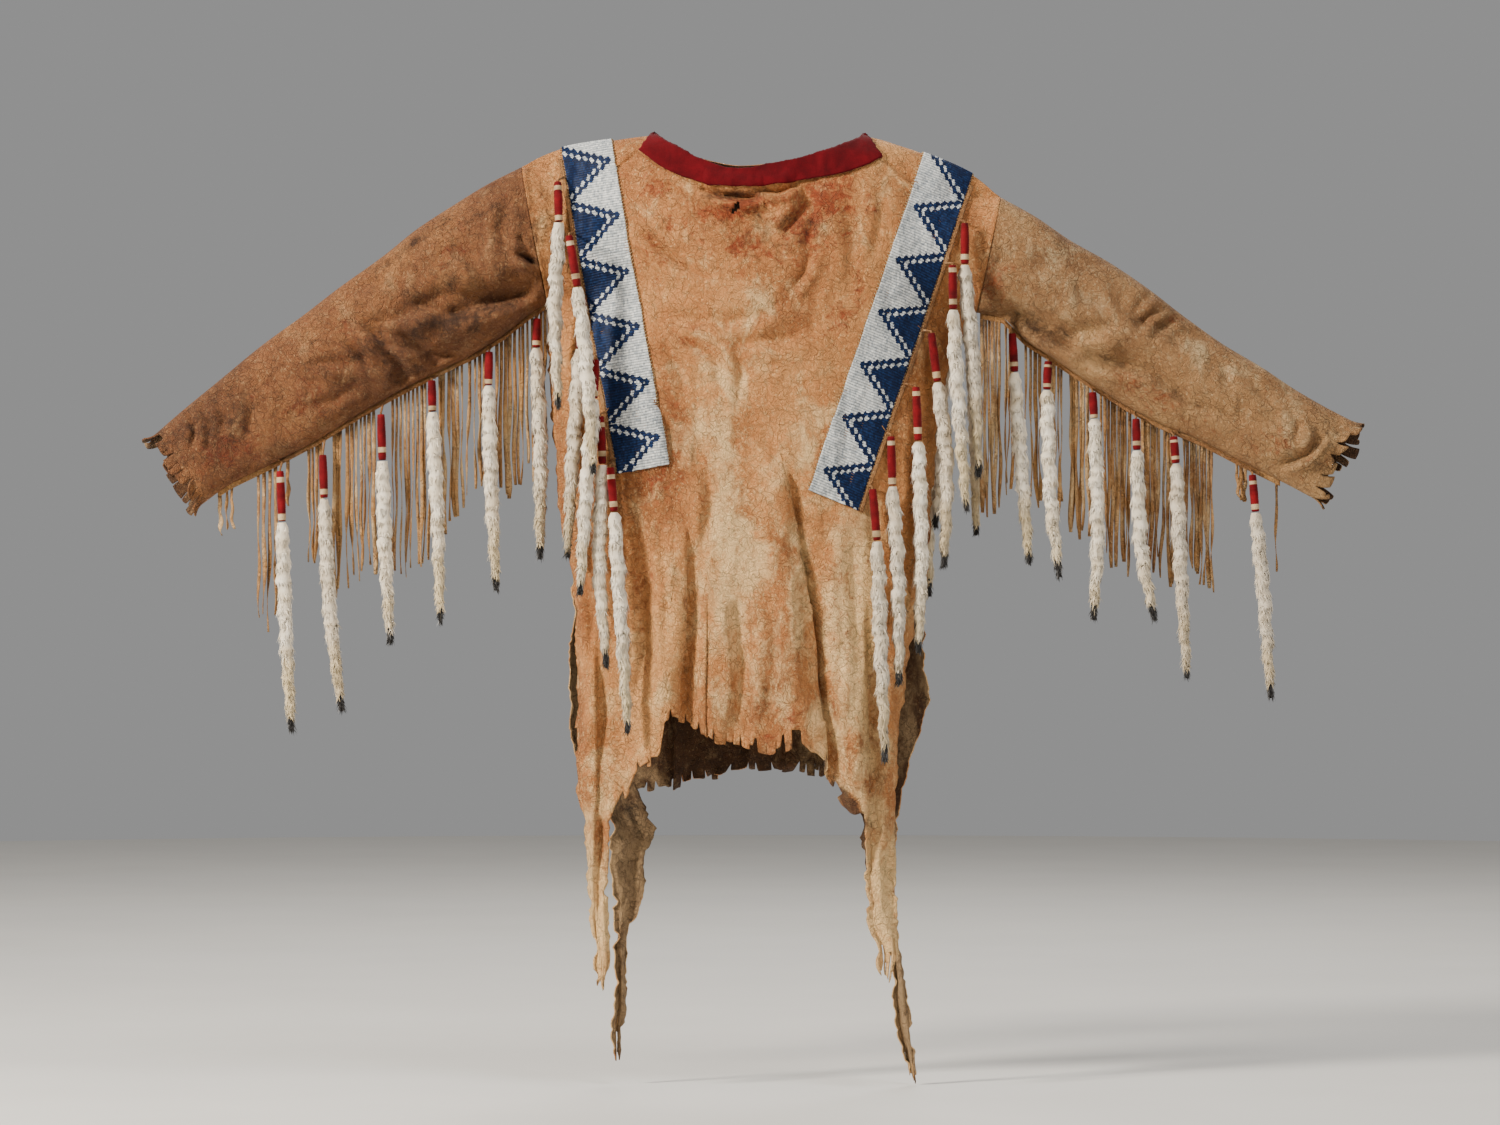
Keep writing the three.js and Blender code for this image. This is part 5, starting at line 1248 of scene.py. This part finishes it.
def beaded_strip(side):
    strip, chart = STRIPS[side], CHARTS[side]
    wide = 2 * math.hypot(strip["acrossX"], strip["acrossZ"])
    long = math.hypot(strip["runX"], strip["runZ"])
    runs, length = run_places(strip, BEAD_ALONG / 3)
    cells = len(runs) // 3 * 3
    runs = np.interp(np.linspace(0, 1, cells + 1), np.linspace(0, 1, len(runs)), runs)
    beads = int(round(wide / BEAD_ACROSS))
    across = np.linspace(-0.985, 0.985, 2 * beads + 1)
    flat, normal, down = strip_surface(strip, across[None, :], runs[:, None], STRIP_LOW + BEAD_LIFT)
    i = np.arange(len(runs))[:, None] % 3
    j = np.arange(len(across))[None, :] % 2
    height = np.where(i == 0, 0.0, np.where(j == 1, 1.0, 0.68))
    rng = np.random.default_rng(70)
    lane = 0.25 * np.abs(np.sin(down * long / 17 * math.pi)) + rng.normal(0, 0.05, height.shape)
    rim = (np.arange(len(across)) % (len(across) - 1) == 0)[None, :]
    points = flat + normal * (height + lane)[..., None]
    points = np.where(rim[..., None], points - normal * 0.8, points)
    quads = grid_quads(len(runs), len(across))
    r, c = quads[:, 0] // len(across), quads[:, 0] % len(across)
    middle = (across[c] + across[c + 1]) / 2
    place = (down[r, c] + down[r + 1, c + 1]) / 2
    blue = is_blue(chart, (middle + 1) / 2 * wide, place * long)
    form = Form()
    way = -1 if strip["acrossX"] < 0 else 1
    # Painted shade between the bead rows and round each bead, darkest in the gaps between rows.
    bead_shade = np.zeros((*height.shape, 3))
    bead_shade[..., 1] = np.where(i == 0, 0.62, np.where(j == 1, 0.0, 0.28))
    form.add(points.reshape(-1, 3), quads[:, ::way], np.where(blue, 1, 0), bead_shade.reshape(-1, 3))
    beads_piece = form.piece(
        f"beads_{side}", "beads", [WHITE_BEADS, BLUE_BEADS], [f"beaded_strip_{side}"])
    # The hide under the beads shows as a thin edge.
    base_runs, _ = run_places(strip, 5)
    base_across = np.linspace(-1.0, 1.0, 9)
    base, _, _ = strip_surface(strip, base_across[None, :], base_runs[:, None], 0)
    quads = grid_quads(len(base_runs), len(base_across))[:, ::way]
    backing = Form()
    backing.wall(base.reshape(-1, 3), quads, STRIP_LOW, STRIP_LOW + BACKING_WALL)
    backing_piece = backing.piece(f"strip_backing_{side}", "hide", [EDGING])
    # Whipped stitches over both long edges
    places = np.linspace(0.004, 0.996, int(length / STITCH_PITCH))
    stitch_runs = np.interp(places, np.linspace(0, 1, len(base_runs)), base_runs)
    stitches = Form()
    for edge in (-1.0, 1.0):
        spots = edge * np.array([0.955, 0.985, 1.015, 1.045])
        line, up, _ = strip_surface(strip, spots[None, :], stitch_runs[:, None], 0)
        lean = np.roll(line, -1, axis=0) - line
        lean[-1] = lean[-2]
        lean = lean * rng.uniform(0.1, 0.5, (len(line), 1, 1))
        lean = lean * np.linspace(-1, 1, 4)[None, :, None]
        lift = np.array([2.6, 3.3, 3.1, 1.2])[None, :, None]
        for path in line + lean + up * lift:
            points, faces = capped(path, np.full(4, STITCH_RADIUS), 4)
            stitches.add(points, faces)
    stitches_piece = stitches.piece(f"stitches_{side}", "thong", [THREAD])
    return beads_piece, backing_piece, stitches_piece, length


beads_left, backing_left, stitches_left, length_left = beaded_strip("left")
beads_right, backing_right, stitches_right, length_right = beaded_strip("right")


# Red wool band round the neck
def neck_band():
    numbers = dict(NECK_BAND, row=np.arange(len(NECK_BAND["upX"]), dtype=float))
    place = np.linspace(0, len(NECK_BAND["upX"]) - 1, 240)
    corner = {key: read(numbers, "row", key, place) for key in NECK_BAND}
    across = np.linspace(0, 1, 15)[None, :]
    fray = 1.3 * np.abs(lumps(place / 0.05, place, 4)) + 0.9 * lumps(place / 0.4, place, 5)
    fray = fray + 7 * ease(0.22, 0, place) + 6 * ease(place[-1] - 0.25, place[-1], place)
    low_fray = 0.6 * lumps(place / 0.3, place, 6)
    x = lerp(corner["upX"][:, None], corner["lowX"][:, None], across)
    z = lerp((corner["upZ"] + fray)[:, None], (corner["lowZ"] + low_fray)[:, None], across)
    ends = np.minimum(place, place[-1] - place)[:, None]
    notch = 2.0 * lumps(across * 9, ends * 0 + 3, 7) * ease(0.25, 0, ends)
    x = x + notch
    seat = np.minimum(z, read(SHOULDER, "x", "z", x))
    y = -np.maximum(body_depth(FRONT, x, seat), body_depth(FRONT, x, seat, fine=True))
    y = y - 0.5 * np.abs(lumps(x / 14, z / 9, 3)) - 0.6
    points = np.stack([x, y, z], axis=-1).reshape(-1, 3)
    quads = grid_quads(len(place), across.shape[1])
    low = HIDE_WALL / 2 + BAND_CLEAR
    form = Form()
    form.wall(points, quads, low, low + BAND_WALL)
    return form.piece("neck_band", "wool", [WOOL], ["neck_band"])


band = neck_band()


# Drops: wrapped heads and furs
HEAD_PLACES = np.array([0, 0.5, 1])
FUR_PLACES = np.array([1, 1.07, 1.6, 2.2, 2.75, 3])
FUR_SHARES = np.array([0.5, 0.88, 1, 0.94, 0.6, 0.24])
FUR_STEPS = np.linspace(1.02, 3, 60)


def drop_line(drop, place):
    down = {axis: np.array([drop[f"{axis}{k}"] for k in range(1, 5)]) for axis in "xz"}
    down["part"] = np.arange(4.0)
    return read(down, "part", "x", place), read(down, "part", "z", place)


def rest_depth(drop, panel):
    """How far from the shoulder plane a drop hangs, at the places of its head and its fur."""
    most, depths = 0.0, []
    places = np.concatenate([HEAD_PLACES, FUR_PLACES])
    for x, z in zip(*drop_line(drop, places)):
        for side in (-8, 0, 8):
            most = max(most, float(body_depth(panel, x + side, z)) + HIDE_WALL / 2)
        depths.append(most + FUR_RADIUS + DROP_CLEAR + drop["out"])
    return places, np.array(depths)


def drop_rows(tab):
    return [dict(zip(tab, values)) for values in zip(*tab.values())]


def head_form(form, path, start, lift, rng):
    """A head wrapped in red with cream bands, on its thong."""
    top, foot = path[0], path[-1]
    length = np.linalg.norm(foot - top)
    wraps = max(12, int(length / 2.6))
    s = np.linspace(0, 1, 2 * wraps + 1)
    line = np.stack([np.interp(s, [0, 0.5, 1], path[:, k]) for k in range(3)], axis=-1)
    swell = np.interp(s, [0, 0.06, 0.5, 0.94, 1], [0.78, 0.88, 1, 0.92, 0.8])
    ridge = np.where(np.arange(len(s)) % 2 == 1, 0.0, -0.55) + rng.normal(0, 0.08, len(s))
    points, quads = capped(line, HEAD_RADIUS * 0.95 * swell + ridge, 10)
    row = quads[:, 0] // 10
    share = row / (len(s) + 1)
    first = rng.uniform(0.06, 0.2)
    second = rng.uniform(0.72, 0.84)
    cream = (share > second) & (share < second + 0.11)
    if rng.random() < 0.55:
        cream |= (share > first) & (share < first + 0.1)
    form.add(points, quads, np.where(cream, 2, 1))
    thong_path = np.array([start, lift, top + [0, 0, 2.5], top + [0, 0, -2]])
    fine = np.linspace(0, 3, 13)
    thong_path = np.stack([np.interp(fine, range(4), thong_path[:, k]) for k in range(3)], axis=-1)
    points, quads = capped(thong_path, np.full(13, THONG_RADIUS), 6)
    form.add(points, quads, 0)
    # A loose end of the thong sticks out beside the knot.
    tail = start + np.array([rng.normal(0, 2), 0, 0]) + np.outer(
        np.linspace(0, 1, 6), [rng.normal(0, 6), np.sign(start[1]) * 4, rng.uniform(-4, 10)])
    points, quads = capped(tail, np.linspace(1.1, 0.6, 6), 4)
    form.add(points, quads, 0)


def fur_piece(name, line, places, rng):
    """A lumpy roll of fur: a core and many tapering tufts of hair lying down along it."""
    s = np.linspace(0, 1, FUR_RINGS)
    steps = np.linalg.norm(np.diff(line, axis=0), axis=1)
    length = np.concatenate([[0], np.cumsum(steps)])
    total = length[-1]
    at = s * total
    path = np.stack([np.interp(at, length, line[:, k]) for k in range(3)], axis=-1)
    share = np.interp(at, length, places)
    radius = FUR_RADIUS * np.interp(share, FUR_PLACES, FUR_SHARES)
    turn = rng.uniform(0, 6.28)
    pitch = rng.uniform(15, 20)
    lump = 1 + 0.15 * np.sin(2 * math.pi * at / pitch + turn) + rng.normal(0, 0.045, len(s))
    sway = rng.uniform(0.6, 1.6) * ease(0, 0.1, s) * ease(1.0, 0.8, s)
    path[:, 0] += sway * np.sin(2 * math.pi * at / 46 + turn)
    path[:, 1] += 0.4 * sway * np.cos(2 * math.pi * at / 46 + turn)
    radii = radius * lump * 0.86
    sides = FUR_SIDES
    wave = 1 + 0.08 * rng.standard_normal((len(s), sides))
    tip = rng.uniform(18, 26)
    yellow = ease(0.45, 0.85, s) * rng.uniform(0.4, 1.0) + rng.normal(0, 0.08, len(s))
    yellow = np.clip(yellow, 0, 1)
    # Painted shade in the valleys between the lumps, added to each drop's real dust.
    valley = np.clip(-np.sin(2 * math.pi * at / pitch + turn), 0, 1) ** 2
    dust_and_shade = rng.choice([0, 0.1, 0.25, 0.7]) + 0.5 * valley
    black = ease(total - tip - 4, total - tip + 4, at)
    marks = np.stack([yellow, black, dust_and_shade], axis=-1)
    points, quads, ring, along = tube(path, radii[:, None] * wave, sides)
    form = Form()
    form.add(points, quads, 0, np.repeat(marks, sides, axis=0), ring.reshape(-1, 3))
    # Tufts
    count = int(total * TUFTS_PER_MM)
    t = np.sort(rng.uniform(0, 0.985, count)) * (len(s) - 1)
    k = t.astype(int)
    f = (t - k)[:, None]
    angle = rng.uniform(0, 2 * math.pi, count)
    frame_x, frame_y = ring[:, 0], ring[:, sides // 4]
    ax, ay = lerp(frame_x[k], frame_x[k + 1], f), lerp(frame_y[k], frame_y[k + 1], f)
    out = ax * np.cos(angle)[:, None] + ay * np.sin(angle)[:, None]
    side = -ax * np.sin(angle)[:, None] + ay * np.cos(angle)[:, None]
    down = lerp(along[k], along[k + 1], f)
    middle = lerp(path[k], path[k + 1], f)
    rad = lerp(radii[k][:, None], radii[k + 1][:, None], f)
    size = rng.uniform(5, 12, count)[:, None]
    flare = np.abs(rng.normal(0.14, 0.15, count))[:, None]
    drift = rng.normal(0, 0.28, count)[:, None]
    base = middle + out * rad * 0.92
    tipward = down + out * flare + side * drift
    tip_points = base + tipward * size
    half = rng.uniform(0.9, 1.5, count)[:, None]
    corners = [base + side * half, base - side * half, base + out * half * 0.9 + down * 1.5]
    tufts = np.stack([*corners, tip_points], axis=1).reshape(-1, 3)
    number = np.arange(count)[:, None] * 4
    faces = np.vstack([number + [2, 0, 3], number + [1, 2, 3], number + [0, 1, 3]])
    tuft_marks = marks[k] + rng.normal(0, 0.05, (count, 1))
    soft = out + side * rng.normal(0, 0.5, (count, 1)) + down * rng.normal(0, 0.4, (count, 1))
    soft /= np.linalg.norm(soft, axis=1, keepdims=True)
    form.add(
        tufts, faces, 0, np.repeat(np.clip(tuft_marks, 0, 1), 4, axis=0), np.repeat(soft, 4, axis=0)
    )
    return form.piece(name, "fur", [FUR], [name])


def hang(form, name, drop, depths, start, lift, rng):
    """Adds a drop's head to the form and makes its fur, a piece of its own."""
    paths = []
    for places in (HEAD_PLACES, FUR_STEPS):
        x, z = drop_line(drop, places)
        paths.append(np.stack([x, np.interp(places, *depths), z], axis=-1))
    head_form(form, paths[0], start, lift, rng)
    fur_piece(name, paths[1], FUR_STEPS, rng)

def drops_on_strip(where, side, panel, tab, seed):
    rng = np.random.default_rng(seed)
    strip = STRIPS[side]
    half = math.hypot(strip["acrossX"], strip["acrossZ"])
    form = Form()
    # Edging along the outer edge, slightly wavy
    runs = np.linspace(0.03, 1, 130) * panel["sign"]
    near = 1 + EDGING_GAP / half
    wave = 0.5 * lumps(runs * 40, runs * 0, 5) / half
    steps = np.linspace(0, EDGING_WIDTH / half, 5)
    across = -(near + steps[None, :] * (1 + 6 * wave[:, None]))
    points, _, _ = strip_surface(strip, across, runs[:, None], 0)
    quads = grid_quads(len(runs), 5)
    normal = vertex_normals(points.reshape(-1, 3), quads).mean(axis=0)
    if normal[1] * panel["sign"] < 0:
        quads = quads[:, ::-1]
    form.wall(points.reshape(-1, 3), quads, STRIP_LOW, STRIP_LOW + EDGING_WALL)
    for number, drop in enumerate(drop_rows(tab), 1):
        places, depths = rest_depth(drop, panel)
        depths = (places, panel["sign"] * depths)
        edge_z = strip["z"] - strip["acrossZ"]
        run = np.clip((edge_z - drop["z1"] - 6) / -strip["runZ"], 0.05, 0.985) * panel["sign"]
        spot = -(near + EDGING_WIDTH / half / 2)
        local, _, _ = strip_surface(
            strip, np.array([[spot - 0.01, spot, spot + 0.01]]),
            np.array([[run - 0.002], [run], [run + 0.002]]), STRIP_LOW + 1.2)
        start = local[1, 1]
        lift = start + [0, panel["sign"] * 3.5, 0]
        hang(form, f"fur_{where}_{number}", drop, depths, start, lift, rng)
    form.piece(f"heads_{where}", "wrap", [EDGING, RED_WRAP, CREAM_WRAP], [f"heads_{where}"])


def under_sleeve(rows, x):
    xs, zs = rows["underX"], rows["underZ"]
    order = np.argsort(xs)
    return np.interp(x, xs[order], zs[order])


def drops_on_sleeve(where, rows, tab, seed):
    rng = np.random.default_rng(seed)
    outward = np.sign(rows["topX"][0])
    form = Form()
    low = min(tab["x1"][0], tab["x1"][-1]) - 14
    high = max(tab["x1"][0], tab["x1"][-1]) + 12
    x = np.linspace(low, high, 110)
    down = np.linspace(0, EDGING_WIDTH, 4)[None, :]
    z = (under_sleeve(rows, x) - FRINGE_CLEAR - 0.6)[:, None] - down
    z = z + 0.4 * lumps(x / 9, x * 0, 4)[:, None]
    y = -3.1 + 0.25 * lumps(x / 7, x * 0, 5)[:, None] + down * 0
    points = np.stack(np.broadcast_arrays(x[:, None], y, z), axis=-1).reshape(-1, 3)
    quads = grid_quads(len(x), 4)
    form.wall(points, quads, -EDGING_WALL / 2, EDGING_WALL / 2)
    places = np.concatenate([HEAD_PLACES, [1.01, 3]])
    depths = (places, np.array([-14.5, -15.5, -16.5, -17, -17]))
    for number, drop in enumerate(drop_rows(tab), 1):
        root = under_sleeve(rows, drop["x1"]) - 4.6
        start = np.array([drop["x1"] - outward * 2, -3.4, root])
        lift = start + [0, -3, -1]
        hang(form, f"fur_{where}_{number}", drop, depths, start, lift, rng)
    form.piece(f"heads_{where}", "wrap", [EDGING, RED_WRAP, CREAM_WRAP], [f"heads_{where}"])


drops_on_strip("front_left", "left", FRONT, DROPS_FRONT_LEFT, 51)
drops_on_strip("front_right", "right", FRONT, DROPS_FRONT_RIGHT, 52)
drops_on_strip("back_left", "left", BACK, DROPS_BACK_LEFT, 53)
drops_on_strip("back_right", "right", BACK, DROPS_BACK_RIGHT, 54)
drops_on_sleeve("sleeve_left", SLEEVE_LEFT, DROPS_SLEEVE_LEFT, 55)
drops_on_sleeve("sleeve_right", SLEEVE_RIGHT, DROPS_SLEEVE_RIGHT, 56)

# Fringe under the sleeves
def fringe(side, rows, bunches, seed):
    rng = np.random.default_rng(seed)
    form = Form()
    low, high = bunches["from"].min() - 3, bunches["to"].max() + 3
    x = np.linspace(low, high, 150)
    down = np.linspace(-FRINGE_CLEAR, FRINGE_STRIP, 5)[None, :]
    z = (under_sleeve(rows, x) - FRINGE_CLEAR)[:, None] - down
    y = 0.2 * lumps(x / 8, x * 0, 2)[:, None] + down * 0
    points = np.stack(np.broadcast_arrays(x[:, None], y, z), axis=-1).reshape(-1, 3)
    quads = grid_quads(len(x), 5)
    form.wall(points, quads, -FRINGE_WALL / 2, FRINGE_WALL / 2)
    for start, stop, strands, length in zip(*bunches.values()):
        count = max(1, int(round(strands * STRANDS_FOR_ONE))) if strands > 1 else 1
        for k in range(count):
            x0 = lerp(start, stop, k / max(1, count - 1)) + rng.normal(0, 0.5)
            root = float(under_sleeve(rows, x0)) - FRINGE_CLEAR - FRINGE_STRIP + 1.5
            size = length * rng.uniform(0.9, 1.05)
            s = np.linspace(0, 1, 16)
            bend = rng.normal(0, 2.2)
            path_x = x0 + bend * s * s + 1.9 * np.sin(s * rng.uniform(6, 13) + k) * s
            path_y = rng.choice([-1, 1]) * 1.6 * np.sin(s * 1.8) + 0.8 * np.sin(s * 7 + k)
            path_z = root - size * s
            wide = rng.uniform(*STRAND_HALF_WIDTH) * np.interp(
                s, [0, 0.12, 0.35, 0.75, 0.95, 1], [0.9, 0.85, 0.95, 1.15, 1.1, 0.8])
            turn = rng.normal(0, 0.3) + s * rng.normal(0, 1.6) + 0.5 * np.sin(s * 11 + k)
            ax = np.stack([np.cos(turn), np.sin(turn), s * 0], axis=-1)
            ay = np.stack([-np.sin(turn), np.cos(turn), s * 0], axis=-1)
            path = np.stack([path_x, path_y, path_z], axis=-1)
            ring = [path + ax * wide[:, None] * a + ay * STRAND_HALF_THICK * b
                    for a, b in ((-1, -0.6), (1, -0.6), (1, 0.6), (-1, 0.6))]
            points = np.stack(ring, axis=1).reshape(-1, 3)
            quads = grid_quads(len(s), 4, closed=True)
            end = (len(s) - 1) * 4
            caps = np.array([[3, 2, 1, 0], [end, end + 1, end + 2, end + 3]])
            marks = np.zeros((len(points), 3))
            # The second channel darkens the strand tops with a painted shadow of the sleeve above,
            # and darkens the strands' ends.
            marks[:, 1] = np.repeat(ease(0.9, 1, s) * 0.45 + ease(0.22, 0, s) * 0.55, 4)
            marks[:, 2] = rng.uniform(0, 0.6)
            form.add(points, np.vstack([quads[:, ::-1], caps[:, ::-1]]), 0, marks)
    return form.piece(
        f"fringe_sleeve_{side}", "thong", [FRINGE], [f"fringe_sleeve_{side}"])


fringe_left = fringe("left", SLEEVE_LEFT, FRINGE_LEFT, 61)
fringe_right = fringe("right", SLEEVE_RIGHT, FRINGE_RIGHT, 62)


# Floor, lights and camera
def floor():
    mesh = bpy.data.meshes.new("floor")
    turns = np.linspace(0, 2 * math.pi, 97)[:-1]
    rim = [(FLOOR_RADIUS * math.cos(a), FLOOR_RADIUS * math.sin(a), FLOOR_Z) for a in turns]
    mesh.from_pydata(rim, [], [tuple(range(len(rim)))])
    piece = bpy.data.objects.new("floor", mesh)
    bpy.context.scene.collection.objects.link(piece)
    s = Shader("floor", rough=0.85)
    colour = s.ramp(s.noise(3, 2), (0.3, "d8d5cf"), (0.7, "dcd9d3"))
    mesh.materials.append(s.finish(colour, s.noise(40, 2), 0.05, 0.002))


def light(name, where, aim, size, power, colour):
    lamp = bpy.data.lights.new(name, "AREA")
    lamp.shape = "DISK"
    lamp.size = size
    lamp.energy = power
    lamp.color = colour
    piece = bpy.data.objects.new(name, lamp)
    piece.location = where
    piece.rotation_euler = (Vector(aim) - Vector(where)).to_track_quat("-Z", "Y").to_euler()
    bpy.context.scene.collection.objects.link(piece)


floor()
light("key", (-3.3, -2.1, 1.5), (0, 0, -0.5), 0.8, 348, (1.0, 0.937, 0.845))
light("top", (0.9, -1.4, 2.6), (0, 0, -0.4), 1.2, 60, (1.0, 0.97, 0.93))
light("fill", (3.2, -3.6, 0.2), (0, 0, -0.5), 2.2, 30, (0.95, 0.97, 1.0))
light("back", (0.6, 3.2, 2.4), (0, 0, -0.4), 2.2, 90, (1.0, 0.98, 0.95))

world = bpy.data.worlds.new("world")
bpy.context.scene.world = world
world.use_nodes = True
world.node_tree.nodes["Background"].inputs["Color"].default_value = (0.86, 0.86, 0.86, 1)
world.node_tree.nodes["Background"].inputs["Strength"].default_value = 0.34

camera = bpy.data.objects.new("camera", bpy.data.cameras.new("camera"))
camera.data.sensor_width = 36
camera.data.lens = 123.5
camera.data.clip_end = 100
camera.location = (-0.016, -7.0, -0.561)
camera.rotation_euler = (math.radians(90), 0, 0)
bpy.context.scene.collection.objects.link(camera)
bpy.context.scene.camera = camera


def corners(box):
    return [[float(v) for v in corner] for corner in box]
